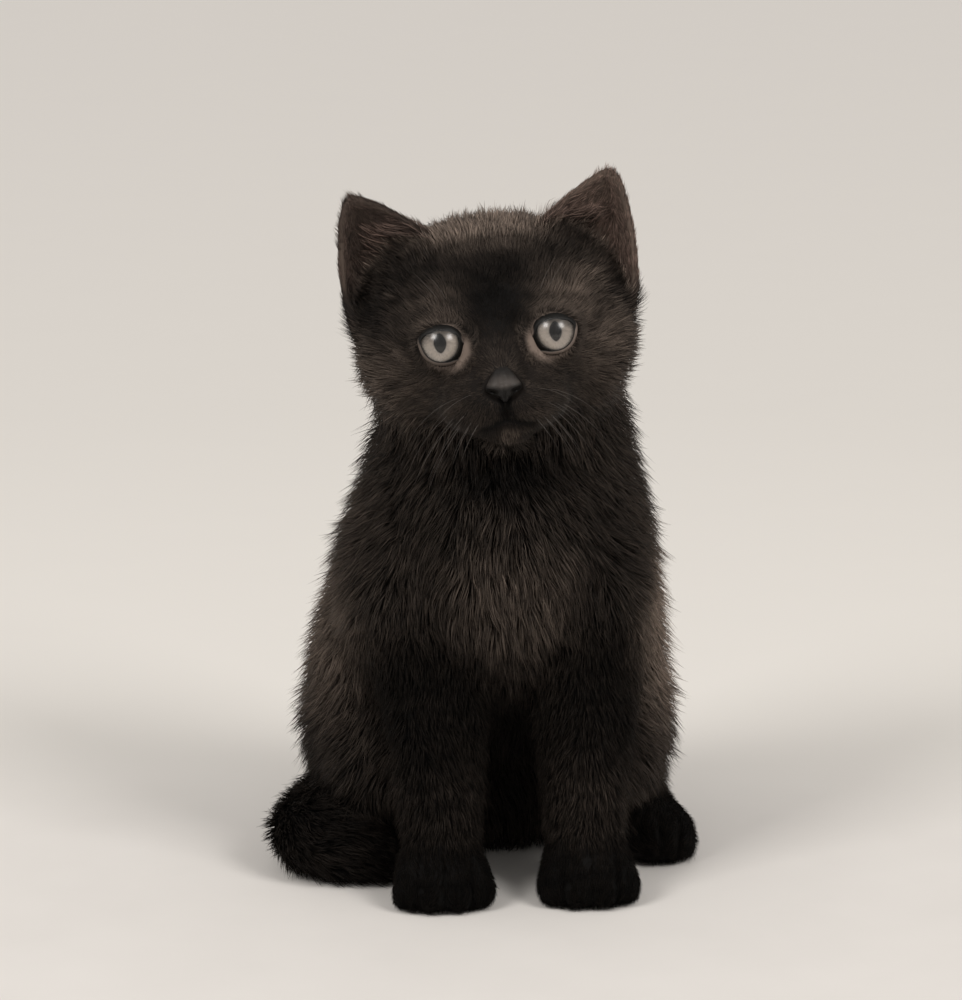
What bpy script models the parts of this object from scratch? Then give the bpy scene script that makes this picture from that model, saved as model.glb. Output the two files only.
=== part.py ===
"""A seated kitten as a life-size still model, in the round.

The solids give the outline of the coat: every mass below reaches to the tips of the fur.
The kitten faces -Y, so its own left is +X. The origin is on the floor, below the middle of the model.
Sizes are in millimetres and are scaled to metres where a mesh is made.
"""

import math

import bmesh
import bpy
import numpy as np
from mathutils import Matrix, Vector

MM = 0.001

# Driving dimensions, in mm.
EYE_SPACING = 33.7          # centre to centre
EYE_HEIGHT = -0.8           # above the head frame's origin
EYE_RADIUS = 8.6
LID_THICKNESS = 1.5
LID_OPENING = (15.0, 12.4)  # width and height of the gap between the lids
LID_SLANT = -9.0            # degrees: the outer corner stands higher
HEAD_HALF_WIDTH = 45.0      # at the cheek fur
CHEEK_RADIUS = 23.0
FOREPAW_SPACING = 44.6
FORE_MIDDLE = 3.1           # the forepaws stand a little to the left of the trunk's middle
HIND_FEET = {"left": (51, 16.5), "right": (-37, 3)}   # x of the toes, and how far forward they stand
HIND_TOES_Y = 20.0          # y of the toes of a foot that stands 0 mm forward
NOSE_CENTRE, NOSE_RADII = (0, -15.8, -14), (6.2, 4.4, 4.8)
SEAM = 0.4                  # gap left by each parting cut

# Fusing: the masses are merged on a grid of this size, then relaxed so that they flow into each other.
CORE_GRID, CORE_RELAX = 1.5, 60
LEG_RELAX = 12
FACE_GRID, FACE_RELAX = 1.0, 6
WHOLE_GRID, WHOLE_RELAX = 1.3, 8
TAIL_GRID, TAIL_RELAX = 1.3, 6
RELAX_FACTOR = 0.5

# Fineness of the facets.
FLESH_FACES, TAIL_FACES = 4300, 600
BALL_SEGMENTS, END_SEGMENTS, HAUNCH_SEGMENTS = 32, 20, 16
EYE_SEGMENTS, NOSE_SEGMENTS = 20, 14
LIMB_SIDES, LIMB_STEPS, SLEEVE_SIDES = 7, 6, 14
SECTION_SIDES = 48
SECTION_STEPS = 5           # rings between two sections of the trunk
LIGHTEN = 0.72              # share of its faces that a node keeps after parting
MERGE = 0.01                # points closer than this become one
LEVEL = 0.2                 # points this near to the floor stand on it


def clear_scene():
    for old in list(bpy.data.objects):
        bpy.data.objects.remove(old)


# ---------------------------------------------------------------- placing

def turn(x=0.0, y=0.0, z=0.0):
    """A rotation by degrees about X, then Y, then Z."""
    about = [Matrix.Rotation(math.radians(a), 4, axis) for a, axis in ((x, "X"), (y, "Y"), (z, "Z"))]
    return about[2] @ about[1] @ about[0]


# The trunk is turned a little to the kitten's left; the head looks ahead, raised and tipped to its right.
TRUNK = Matrix.Translation((4.0, 0.0, 0.0)) @ turn(z=5.0)
HEAD = Matrix.Translation((4.5, -30.0, 177.0)) @ turn(z=1.5) @ turn(x=-10.0) @ turn(y=-5.65)


# ---------------------------------------------------------------- making shapes

def mesh_object(name, mesh):
    made = bpy.data.objects.new(name, mesh)
    bpy.context.scene.collection.objects.link(made)
    return made


def ball(name, frame, centre, radii, tilt=None, segments=BALL_SEGMENTS):
    """An ellipsoid in a frame, tilted about its own centre."""
    bm = bmesh.new()
    bmesh.ops.create_uvsphere(bm, u_segments=segments, v_segments=segments // 2, radius=1.0)
    place = frame @ Matrix.Translation(centre) @ (tilt or Matrix()) @ Matrix.Diagonal((*radii, 1.0))
    bm.transform(Matrix.Scale(MM, 4) @ place)
    mesh = bpy.data.meshes.new(name)
    bm.to_mesh(mesh)
    bm.free()
    return mesh_object(name, mesh)


def limb(name, frame, stations):
    """A round tapering limb through stations of (x, y, z, radius), with a ball at each end."""
    curve = bpy.data.curves.new(name, "CURVE")
    curve.dimensions = "3D"
    curve.bevel_depth = MM
    curve.bevel_resolution = LIMB_SIDES
    curve.use_fill_caps = True
    curve.resolution_u = LIMB_STEPS
    spline = curve.splines.new("BEZIER")
    spline.bezier_points.add(len(stations) - 1)
    for point, (x, y, z, radius) in zip(spline.bezier_points, stations):
        point.co = (frame @ Vector((x, y, z))) * MM
        point.radius = radius
        point.handle_left_type = point.handle_right_type = "AUTO"
    tube = mesh_object(name, as_mesh(mesh_object(name + "_curve", curve)))
    ends = [
        ball(name + "_end", frame, (x, y, z), (radius,) * 3, segments=END_SEGMENTS)
        for x, y, z, radius in (stations[0], stations[-1])
    ]
    return joined(name, [tube, *ends])


def both_sides(name, frame, centre, radii, tilt=(0, 0, 0)):
    """The same mass on the left (+X) and on the right."""
    x, y, z = centre
    tx, ty, tz = tilt
    return [
        ball(name + "_left", frame, (x, y, z), radii, turn(tx, ty, tz)),
        ball(name + "_right", frame, (-x, y, z), radii, turn(tx, -ty, -tz)),
    ]


def as_mesh(made):
    """The object's evaluated mesh, modifiers applied; the object is removed."""
    bpy.context.view_layer.update()
    mesh = bpy.data.meshes.new_from_object(made.evaluated_get(bpy.context.evaluated_depsgraph_get()))
    bpy.data.objects.remove(made)
    return mesh


def joined(name, pieces):
    """One object holding every piece's faces, still as separate shells."""
    bm = bmesh.new()
    for piece in pieces:
        bm.from_mesh(piece.data)
        bpy.data.objects.remove(piece)
    mesh = bpy.data.meshes.new(name)
    bm.to_mesh(mesh)
    bm.free()
    return mesh_object(name, mesh)


def fused(name, pieces, grid, relax):
    """The union of overlapping masses, relaxed so that they flow into each other."""
    whole = joined(name, pieces)
    remesh = whole.modifiers.new("union", "REMESH")
    remesh.mode = "VOXEL"
    remesh.voxel_size = grid * MM
    smooth = whole.modifiers.new("relax", "SMOOTH")
    smooth.factor = RELAX_FACTOR
    smooth.iterations = relax
    return mesh_object(name, as_mesh(whole))


# ---------------------------------------------------------------- trunk and neck

# Level sections of the trunk from floor to nape: height, how far to the left the middle stands,
# y of the belly or chest, y of the back, half width.
TRUNK_SECTIONS = (
    (-10, 0, 13, 66, 40),
    (10, 0.3, 7, 74, 49),
    (30, 0.8, 2, 76, 56),
    (50, 0.2, -12, 71, 57.5),
    (70, -0.3, -25, 62, 56.5),
    (90, 0.3, -34, 53, 51.5),
    (110, 1.5, -36, 45, 48),
    (130, 2.4, -33, 38.5, 43),
    (150, 2.8, -27, 34.5, 38),
    (168, 2.2, -14, 33, 34),
    (184, 1.5, -6, 29, 28),
)


def smooth_between(stations, steps):
    """Rows of numbers filled in between the stations by a Catmull-Rom curve."""
    rows = np.array(stations, float)
    padded = np.vstack([2 * rows[0] - rows[1], rows, 2 * rows[-1] - rows[-2]])
    filled = []
    for p0, p1, p2, p3 in zip(padded, padded[1:], padded[2:], padded[3:]):
        for t in np.arange(steps) / steps:
            filled.append(0.5 * (2 * p1 + (p2 - p0) * t + (2 * p0 - 5 * p1 + 4 * p2 - p3) * t**2
                                 + (3 * p1 - p0 - 3 * p2 + p3) * t**3))
    return np.array([*filled, rows[-1]])


def round_angles(sides):
    return [2 * math.pi * i / sides for i in range(sides)]


def skinned(name, rings):
    """A closed solid through rings of equally many points."""
    bm = bmesh.new()
    loops = [[bm.verts.new(Vector(p) * MM) for p in ring] for ring in rings]
    for low, high in zip(loops, loops[1:]):
        for i in range(len(low)):
            j = (i + 1) % len(low)
            bm.faces.new((low[i], low[j], high[j], high[i]))
    bm.faces.new(loops[0][::-1])
    bm.faces.new(loops[-1])
    bmesh.ops.recalc_face_normals(bm, faces=bm.faces)
    mesh = bpy.data.meshes.new(name)
    bm.to_mesh(mesh)
    bm.free()
    return mesh_object(name, mesh)


def trunk_form():
    rings = []
    for z, aside, front, back, half_width in smooth_between(TRUNK_SECTIONS, SECTION_STEPS):
        middle, half_depth = (front + back) / 2, (back - front) / 2
        rings.append([
            TRUNK @ Vector((aside + half_width * math.cos(a), middle + half_depth * math.sin(a), z))
            for a in round_angles(SECTION_SIDES)
        ])
    return skinned("trunk", rings)


def trunk_masses():
    masses = [
        trunk_form(),
        ball("bib", TRUNK, (1, -17, 108), (31, 22.5, 42)),
        ball("rump", TRUNK, (0, 50, 24), (40, 28, 26)),
    ]
    masses += both_sides("shoulder", TRUNK, (31, -5, 92), (19, 26, 32), (0, 4, 0))
    masses += both_sides("thigh", TRUNK, (35, 26, 41), (24.5, 38, 35), (-20, 0, 0))
    masses += both_sides("knee", TRUNK, (36, 0, 36), (17, 17, 22), (-15, 0, 0))
    return masses


# ---------------------------------------------------------------- legs

# The four toes, as shares of the paw's half width, length and height.
TOE_PLACES = ((0.27, 0.58), (0.70, 0.36))   # sideways, forward: the outer two stand back
TOE_DROP = 0.12
TOE_SIZE = (0.33, 0.5, 0.85)
PALM_WIDTH = 0.94
SHOULDER_X = 27.0           # where the foreleg's line meets the shoulder
HOCK_IN, HEEL_IN = 0.92, 0.78   # the hind foot narrows towards the heel, as shares of the toes' x


def paw_masses(name, centre, size):
    """A paw with four toes in the trunk's frame: size is its half width, length and height."""
    x, y, z = centre
    wide, length, height = size
    toe_radii = [whole * share for whole, share in zip(size, TOE_SIZE)]
    masses = [ball(name, TRUNK, centre, (wide * PALM_WIDTH, length, height))]
    for side in (-1, 1):
        for sideways, ahead in TOE_PLACES:
            toe = (x + side * sideways * wide, y - ahead * length, z - TOE_DROP * height)
            masses.append(ball(name + "_toe", TRUNK, toe, toe_radii))
    return masses


def forepaw_x(side):
    return FORE_MIDDLE + side * FOREPAW_SPACING / 2


def foreleg_masses(side):
    x = forepaw_x(side)
    shoulder, elbow = (side * SHOULDER_X, -10, 88, 21), (x + side, -16, 62, 17.5)
    line = [shoulder, elbow, (x, -23, 38, 14.6), (x, -28, 21, 13.6)]
    return [limb("foreleg", TRUNK, line), *paw_masses("forepaw", (x, -33, 8.5), (17, 17, 11.5))]


def hind_foot_masses(x, forward):
    y = HIND_TOES_Y - forward
    line = [(x * HEEL_IN, y + 36, 10, 11), (x * HOCK_IN, y + 18, 10, 11.5), (x, y + 2, 9.6, 12)]
    return [limb("hindfoot", TRUNK, line), *paw_masses("hindtoes", (x, y, 9.3), (14, 15.5, 11))]


# ---------------------------------------------------------------- head

def skull_masses():
    masses = [
        ball("cranium", HEAD, (0, 27, 9), (40, 33.5, 27.5)),
        ball("face", HEAD, (0, 13, -5), (36, 22, 24)),
        ball("jaw", HEAD, (0, 8, -19), (24, 19, 12)),
    ]
    cheek = (CHEEK_RADIUS, 24, CHEEK_RADIUS)
    masses += both_sides("cheek", HEAD, (HEAD_HALF_WIDTH - CHEEK_RADIUS, 21, -3), cheek)
    masses += both_sides("jowl", HEAD, (19, 20, -17), (19, 20, 15))
    return masses


def face_masses():
    masses = [
        ball("chin", HEAD, (0, -6.5, -27), (9, 8, 7)),
        limb("bridge", HEAD, [(0, 2, 9, 9.5), (0, -3.5, 0, 8.6), (0, -10.2, -10, 7.4)]),
    ]
    masses += both_sides("brow", HEAD, (14, 5.5, 10), (13, 10, 9))
    masses += both_sides("muzzle", HEAD, (8.2, -6.5, -20), (12.4, 12.8, 9.8), (0, 0, -14))
    return masses


# ---------------------------------------------------------------- ears

EAR_INNER, EAR_OUTER, EAR_TIP = Vector((17.5, 12, 32)), Vector((43, 14, 7)), Vector((41, 17, 46))
EAR_DEPTH, EAR_BACKWARD = 15.0, Vector((0.22, 0.95, 0.2)).normalized()
EAR_BULGES = (0.10, 0.40, 0.24)   # how far the inner edge, the back and the outer edge bow out
EAR_THICKNESS = 2.8
EAR_ACROSS, EAR_UP = 12, 7
EAR_ROOT, EAR_TOP = -0.22, 0.95   # the sheet runs from inside the head to just short of the tip


def ear(name, side):
    """The ear is a cupped sheet: a half round at the skull that narrows to the tip on bowed lines."""
    bm = bmesh.new()
    middle = (EAR_INNER + EAR_OUTER) / 2
    rows = []
    for i in range(EAR_UP + 1):
        up = EAR_ROOT + (EAR_TOP - EAR_ROOT) * i / EAR_UP
        row = []
        for j in range(EAR_ACROSS + 1):
            across = j / EAR_ACROSS
            around = math.pi * across
            foot = (middle + (EAR_INNER - EAR_OUTER) / 2 * math.cos(around)
                    + EAR_BACKWARD * EAR_DEPTH * math.sin(around))
            bulge = np.interp(across, (0.0, 0.5, 1.0), EAR_BULGES)
            bow = (foot + EAR_TIP) / 2 + (foot - middle) * bulge
            point = foot * (1 - up) ** 2 + bow * (2 * up * (1 - up)) + EAR_TIP * up**2
            row.append(bm.verts.new(HEAD @ Vector((side * point.x, point.y, point.z)) * MM))
        rows.append(row)
    for low, high in zip(rows, rows[1:]):
        for j in range(EAR_ACROSS):
            quad = (low[j], low[j + 1], high[j + 1], high[j])
            bm.faces.new(quad if side > 0 else quad[::-1])
    mesh = bpy.data.meshes.new(name)
    bm.to_mesh(mesh)
    bm.free()
    made = mesh_object(name, mesh)
    thick = made.modifiers.new("thickness", "SOLIDIFY")
    thick.thickness = EAR_THICKNESS * MM
    thick.offset = 0.0
    return mesh_object(name, as_mesh(made))


# ---------------------------------------------------------------- tail

# Centre line and radius: out from the rump, round the right haunch along the floor, to the right forepaw.
TAIL_PATH = [
    (4, 66, 21, 14), (-14, 66, 14, 14), (-32, 54, 12.3, 13.5), (-43, 34, 11.8, 13), (-50, 14, 11.8, 13),
    (-54, -3, 12, 13.2), (-50, -13, 11.8, 12.8), (-41, -17, 11, 12), (-35, -18, 9.4, 10),
]


# ---------------------------------------------------------------- parting

def boolean(target, cutter, operation):
    """The target after one exact Boolean with the cutter; both objects are used up."""
    cut = target.modifiers.new("cut", "BOOLEAN")
    cut.operation = operation
    cut.solver = "EXACT"
    cut.object = cutter
    name = target.name
    mesh = as_mesh(target)
    bpy.data.objects.remove(cutter)
    return mesh_object(name, mesh)


def copy_of(source, name):
    return mesh_object(name, source.data.copy())


def block(name, frame, corners, grow=0.0):
    """A box in a frame between two corners, grown all round by the seam's width."""
    bm = bmesh.new()
    bmesh.ops.create_cube(bm, size=1.0)
    low, high = Vector(corners[0]) - Vector((grow,) * 3), Vector(corners[1]) + Vector((grow,) * 3)
    place = frame @ Matrix.Translation((low + high) / 2) @ Matrix.Diagonal((*(high - low), 1.0))
    bm.transform(Matrix.Scale(MM, 4) @ place)
    mesh = bpy.data.meshes.new(name)
    bm.to_mesh(mesh)
    bm.free()
    return mesh_object(name, mesh)


def main_piece(made):
    """Keeps only the largest island of a mesh, dropping slivers that a cut may leave."""
    bm = bmesh.new()
    bm.from_mesh(made.data)
    left, islands = set(bm.verts), []
    while left:
        seed = left.pop()
        island, edge = {seed}, [seed]
        while edge:
            for link in edge.pop().link_edges:
                for vert in link.verts:
                    if vert in left:
                        left.discard(vert)
                        island.add(vert)
                        edge.append(vert)
        islands.append(island)
    islands.sort(key=len)
    for island in islands[:-1]:
        bmesh.ops.delete(bm, geom=list(island), context="VERTS")
    bm.to_mesh(made.data)
    bm.free()
    return made


def parted(whole, name, make_cutter, *shape):
    """Splits a piece off the whole: the cutter's share is the piece, and a seam's gap is left round it."""
    piece = boolean(copy_of(whole, name), make_cutter(name, *shape, grow=0.0), "INTERSECT")
    rest = boolean(whole, make_cutter(name, *shape, grow=SEAM), "DIFFERENCE")
    return main_piece(rest), main_piece(piece)


def grown(source, name, amount):
    """A copy of a solid with its surface moved outward."""
    made = copy_of(source, name)
    push = made.modifiers.new("grow", "DISPLACE")
    push.strength = amount * MM
    push.mid_level = 0.0
    return mesh_object(name, as_mesh(made))


def lightened(made, faces):
    fewer = made.modifiers.new("fewer", "DECIMATE")
    fewer.ratio = faces / sum(len(p.vertices) - 2 for p in made.data.polygons)
    name = made.name
    return mesh_object(name, as_mesh(made))


def oval(name, frame, centre, radii, tilt, grow):
    """An ellipsoid cutter, grown all round by the seam's width."""
    return ball(name, frame, centre, [r + grow for r in radii], tilt, HAUNCH_SEGMENTS)


STEEP = 0.8                 # share of Y in a direction, past which a ring is squared to Z


def sleeve(name, frame, stations, grow):
    """A low-count round cutter through stations of (x, y, z, radius), grown by the seam's width."""
    path = [Vector(s[:3]) for s in stations]
    rings = []
    for i, centre in enumerate(path):
        along = (path[min(i + 1, len(path) - 1)] - path[max(i - 1, 0)]).normalized()
        if i in (0, len(path) - 1):
            centre = centre + along * (grow if i else -grow)
        beside = Vector((0.0, 1.0, 0.0)) if abs(along.y) < STEEP else Vector((0.0, 0.0, 1.0))
        across = along.cross(beside).normalized()
        third = along.cross(across)
        radius = stations[i][3] + grow
        rings.append([
            frame @ (centre + (across * math.cos(a) + third * math.sin(a)) * radius)
            for a in round_angles(SLEEVE_SIDES)
        ])
    return skinned(name, rings)


REACH = 120.0               # past the model on every side
FLOOR = ((-REACH, -REACH, -60), (REACH, REACH, 0))
ABOVE = ((-REACH, -REACH, 0), (REACH, REACH, REACH))
LIDS_Y, OPENING_DEPTH = 0.3, 6.0

# Head and neck part on two tilted planes, both lower at the throat than at the nape.
NECK_TOP = Matrix.Translation((0, 0, 157)) @ turn(x=15)
NECK_FOOT = Matrix.Translation((0, 0, 131)) @ turn(x=22)

# The thigh parts from the flank by an oval cut; the tail parts in three lengths where it bends.
HAUNCH_PLACE, HAUNCH_RADII, HAUNCH_TILT = (42, 21, 40), (21, 44, 38), turn(x=-14)
TAIL_CUTS = (
    ("tail_tip", ((-REACH, -60, -5), (0, 6, 60))),
    ("tail_middle", ((-REACH, -60, -5), (0, 46, 60))),
)


def with_eye_opening(flesh, side):
    """Adds the lids round one eyeball, then cuts its socket and the gap between the lids."""
    centre = (side * EYE_SPACING / 2, 0, EYE_HEIGHT)
    lid_centre = (centre[0], LIDS_Y, EYE_HEIGHT)
    lids = ball("lids", HEAD, lid_centre, (EYE_RADIUS + LID_THICKNESS,) * 3, segments=EYE_SEGMENTS)
    socket = ball("socket", HEAD, centre, (EYE_RADIUS + SEAM,) * 3, segments=EYE_SEGMENTS)
    opening_centre = (centre[0], -EYE_RADIUS, EYE_HEIGHT)
    opening_radii = (LID_OPENING[0] / 2, OPENING_DEPTH, LID_OPENING[1] / 2)
    slant = turn(y=side * LID_SLANT)
    opening = ball("opening", HEAD, opening_centre, opening_radii, slant, segments=EYE_SEGMENTS)
    flesh = boolean(flesh, lids, "UNION")
    flesh = boolean(flesh, socket, "DIFFERENCE")
    return boolean(flesh, opening, "DIFFERENCE")


def eyeball(name, side):
    centre = (side * EYE_SPACING / 2, 0, EYE_HEIGHT)
    return ball(name, HEAD, centre, (EYE_RADIUS,) * 3, segments=EYE_SEGMENTS)


def forepaw_box(side):
    """The level cut at the wrist."""
    x = forepaw_x(side)
    return ((x - 21, -60, -5), (x + 21, -8, 21))


def foreleg_line(side):
    """The round cut that runs up from the wrist into the shoulder."""
    x = forepaw_x(side)
    return [(x, -28, 16, 17.2), (x, -23, 38, 17.2), (x + side, -16, 62, 20), (side * SHOULDER_X, -10, 82, 23),
            (side * (SHOULDER_X + 1), -8, 94, 18), (side * (SHOULDER_X + 1), -8, 100, 9)]


def hind_foot_line(x, forward):
    """The round cut from the heel to the toes."""
    y = HIND_TOES_Y - forward
    return [(x * 0.74, y + 43, 10, 12), (x * HEEL_IN, y + 36, 9, 14), (x * HOCK_IN, y + 18, 9, 15),
            (x, y + 2, 8, 17.5), (x * 1.02, y - 10, 8, 18), (x * 1.04, y - 20, 8, 16)]


clear_scene()
core = fused("core", trunk_masses() + skull_masses(), CORE_GRID, CORE_RELAX)
leg_pieces = foreleg_masses(1) + foreleg_masses(-1)
leg_pieces += hind_foot_masses(*HIND_FEET["left"]) + hind_foot_masses(*HIND_FEET["right"])
legs = fused("legs", leg_pieces, FACE_GRID, LEG_RELAX)
face = fused("face", face_masses(), FACE_GRID, FACE_RELAX)
flesh = lightened(fused("flesh", [core, legs, face], WHOLE_GRID, WHOLE_RELAX), FLESH_FACES)
tail = fused("tail", [limb("tail_form", Matrix(), TAIL_PATH)], TAIL_GRID, TAIL_RELAX)
tail = lightened(tail, TAIL_FACES)

# The floor trims the soles, the rump and the tail flat, all at one level.
flesh = boolean(flesh, block("floor", Matrix(), FLOOR), "DIFFERENCE")
tail = main_piece(boolean(tail, block("floor", Matrix(), FLOOR), "DIFFERENCE"))

nodes = {}
for name, side in (("ear_left", 1), ("ear_right", -1)):
    nodes[name] = main_piece(boolean(ear(name, side), grown(flesh, "ear_bed", SEAM), "DIFFERENCE"))
flesh = boolean(flesh, grown(tail, "tail_bed", SEAM), "DIFFERENCE")
for name, side in (("eye_left", 1), ("eye_right", -1)):
    nodes[name] = eyeball(name, side)
    flesh = with_eye_opening(flesh, side)
nodes["nose"] = ball("nose", HEAD, NOSE_CENTRE, NOSE_RADII, segments=NOSE_SEGMENTS)
nose_bed = ball("nose_bed", HEAD, NOSE_CENTRE, [r + SEAM for r in NOSE_RADII], segments=NOSE_SEGMENTS)
flesh = boolean(flesh, nose_bed, "DIFFERENCE")

flesh, nodes["head"] = parted(flesh, "head", block, NECK_TOP, ABOVE)
flesh, nodes["neck"] = parted(flesh, "neck", block, NECK_FOOT, ABOVE)
for side_name, side in (("left", 1), ("right", -1)):
    paw, leg = "forepaw_" + side_name, "foreleg_" + side_name
    foot, thigh = "hindfoot_" + side_name, "thigh_" + side_name
    haunch = (side * HAUNCH_PLACE[0], *HAUNCH_PLACE[1:])
    flesh, nodes[paw] = parted(flesh, paw, block, TRUNK, forepaw_box(side))
    flesh, nodes[leg] = parted(flesh, leg, sleeve, TRUNK, foreleg_line(side))
    flesh, nodes[foot] = parted(flesh, foot, sleeve, TRUNK, hind_foot_line(*HIND_FEET[side_name]))
    flesh, nodes[thigh] = parted(flesh, thigh, oval, TRUNK, haunch, HAUNCH_RADII, HAUNCH_TILT)
nodes["trunk"] = flesh
for name, corners in TAIL_CUTS:
    tail, nodes[name] = parted(tail, name, block, Matrix(), corners)
nodes["tail_base"] = tail


# ---------------------------------------------------------------- finishing

COATS = {"ear": "ear fur", "eye": "eye", "nose": "nose leather"}   # every other node is fur
# Colour and roughness of each finish.
FINISHES = {
    "fur": ((0.016, 0.012, 0.009), 0.85),
    "ear fur": ((0.022, 0.016, 0.012), 0.8),
    "eye": ((0.30, 0.25, 0.21), 0.12),
    "nose leather": ((0.035, 0.03, 0.027), 0.5),
}


def finish(made, name):
    """Merges the points a cut leaves together, lightens the node, and gives it its name and material."""
    bm = bmesh.new()
    bm.from_mesh(made.data)
    bmesh.ops.remove_doubles(bm, verts=bm.verts, dist=MERGE * MM)
    bmesh.ops.dissolve_degenerate(bm, edges=bm.edges, dist=MERGE * MM)
    bmesh.ops.triangulate(bm, faces=bm.faces)
    bm.to_mesh(made.data)
    bm.free()
    made = lightened(made, LIGHTEN * len(made.data.polygons))
    made.name = made.data.name = name
    for vert in made.data.vertices:
        if abs(vert.co.z) < LEVEL * MM:
            vert.co.z = 0.0
    kind = COATS.get(name.split("_")[0], "fur")
    colour, roughness = FINISHES[kind]
    material = bpy.data.materials.new(name)
    material.use_nodes = True
    shader = material.node_tree.nodes["Principled BSDF"]
    shader.inputs["Base Color"].default_value = (*colour, 1.0)
    shader.inputs["Roughness"].default_value = roughness
    shader.inputs["Metallic"].default_value = 0.0
    material.diffuse_color = (*colour, 1.0)
    made.data.materials.clear()
    made.data.materials.append(material)
    for face in made.data.polygons:
        face.use_smooth = True
        face.material_index = 0
    return made


nodes = {name: finish(made, name) for name, made in nodes.items()}

# The origin goes to the floor below the middle of the model's box.
corners = np.array([v.co for made in nodes.values() for v in made.data.vertices])
middle = (corners.min(axis=0) + corners.max(axis=0)) / 2
for made in nodes.values():
    made.data.transform(Matrix.Translation((-middle[0], -middle[1], 0.0)))
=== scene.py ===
import math

import bmesh
import bpy
import numpy as np
from mathutils import Matrix, Vector
from mathutils.kdtree import KDTree


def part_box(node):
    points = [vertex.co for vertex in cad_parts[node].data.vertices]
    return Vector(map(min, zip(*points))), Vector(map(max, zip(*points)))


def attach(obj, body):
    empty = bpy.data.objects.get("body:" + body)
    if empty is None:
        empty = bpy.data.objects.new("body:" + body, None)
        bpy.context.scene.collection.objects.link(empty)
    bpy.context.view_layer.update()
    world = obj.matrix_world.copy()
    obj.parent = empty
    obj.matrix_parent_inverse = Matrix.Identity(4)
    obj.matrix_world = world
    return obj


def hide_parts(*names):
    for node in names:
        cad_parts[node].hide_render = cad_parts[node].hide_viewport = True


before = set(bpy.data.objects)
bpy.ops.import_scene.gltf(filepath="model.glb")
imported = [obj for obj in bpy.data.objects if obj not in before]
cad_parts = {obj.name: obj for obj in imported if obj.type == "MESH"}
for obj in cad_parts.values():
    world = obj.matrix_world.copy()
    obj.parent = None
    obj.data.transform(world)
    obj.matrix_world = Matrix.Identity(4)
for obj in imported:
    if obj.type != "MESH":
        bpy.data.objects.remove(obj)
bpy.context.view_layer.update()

# ------------------------------------------------------------
# Hide. A kitten's skin is one soft sheet over flesh and bone, from nose to tail tip. It is made from
# the solids of the flesh, fused so that no joint shows, and lies under the coat's outline by the
# depth of the hair. All of it is measured in mm and scaled to metres when a mesh is made.

MM = 0.001
FLESH = [n for n in sorted(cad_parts) if n.split("_")[0] not in ("eye", "nose")]
FUSE_OVERLAP = 0.35        # mm that each solid grows, so that the parting gaps close
HIDE_GRID = 1.45
HIDE_RELAX = 5
HIDE_LOWEST = 0.35         # mm over the floor
SEED = 20


def turn(x=0.0, y=0.0, z=0.0):
    """A rotation by degrees about X, then Y, then Z."""
    about = [Matrix.Rotation(math.radians(a), 4, axis) for a, axis in ((x, "X"), (y, "Y"), (z, "Z"))]
    return about[2] @ about[1] @ about[0]


def middle(node):
    """The middle of a CAD node's box, in mm."""
    low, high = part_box(node)
    return (low + high) / 2 / MM


# The head's and the trunk's own frames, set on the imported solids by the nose.
NOSE_AT = Vector((0.0, -15.8, -14.0))
HEAD_TURN = turn(z=1.5) @ turn(x=-10.0) @ turn(y=-5.65)
HEAD = Matrix.Translation(middle("nose") - HEAD_TURN @ NOSE_AT) @ HEAD_TURN
TRUNK = Matrix.Translation(HEAD.translation + Vector((-0.5, 30.0, -177.0))) @ turn(z=5.0)


def placed(matrix, points):
    m = np.array(matrix)
    return np.asarray(points, float) @ m[:3, :3].T + m[:3, 3]


def turned(matrix, ways):
    return np.asarray(ways, float) @ np.array(matrix)[:3, :3].T


def unit(ways):
    return ways / np.maximum(np.linalg.norm(ways, axis=-1, keepdims=True), 1e-9)


def smooth(low, high, values):
    """0 below low, 1 above high, and a soft step between."""
    t = np.clip((values - low) / (high - low), 0.0, 1.0)
    return t * t * (3.0 - 2.0 * t)


def read(elements, name, width, kind=np.float64):
    values = np.empty(len(elements) * width, np.float32 if kind is np.float64 else np.int32)
    elements.foreach_get(name, values)
    return values.reshape(-1, width).astype(kind)


def object_of(name, data):
    made = bpy.data.objects.new(name, data)
    bpy.context.scene.collection.objects.link(made)
    return made


def evaluated_mesh(made):
    """The object's mesh with its modifiers applied; the object is removed."""
    bpy.context.view_layer.update()
    mesh = bpy.data.meshes.new_from_object(made.evaluated_get(bpy.context.evaluated_depsgraph_get()))
    bpy.data.objects.remove(made)
    return mesh


def fused_flesh():
    whole = bmesh.new()
    for node in FLESH + ["eye_left", "eye_right", "nose"]:
        part = bmesh.new()
        part.from_mesh(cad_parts[node].data)
        bmesh.ops.remove_doubles(part, verts=part.verts, dist=1e-6)
        part.normal_update()
        for vert in part.verts:
            vert.co += vert.normal * FUSE_OVERLAP * MM
        copy = bpy.data.meshes.new("copy")
        part.to_mesh(copy)
        part.free()
        whole.from_mesh(copy)
        bpy.data.meshes.remove(copy)
    mesh = bpy.data.meshes.new("flesh")
    whole.to_mesh(mesh)
    whole.free()
    flesh = object_of("flesh", mesh)
    remesh = flesh.modifiers.new("fuse", "REMESH")
    remesh.mode = "VOXEL"
    remesh.voxel_size = HIDE_GRID * MM
    return evaluated_mesh(flesh)


def refined(mesh, zones):
    """Halves the faces inside each zone, given as (centre, radius) in mm."""
    bm = bmesh.new()
    bm.from_mesh(mesh)
    for centre, radius in zones:
        near = [e for e in bm.edges if ((e.verts[0].co + e.verts[1].co) / 2 / MM - centre).length < radius]
        bmesh.ops.subdivide_edges(bm, edges=near, cuts=1, use_grid_fill=True)
    bmesh.ops.triangulate(bm, faces=[f for f in bm.faces if len(f.verts) > 4])
    bm.to_mesh(mesh)
    bm.free()


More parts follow.
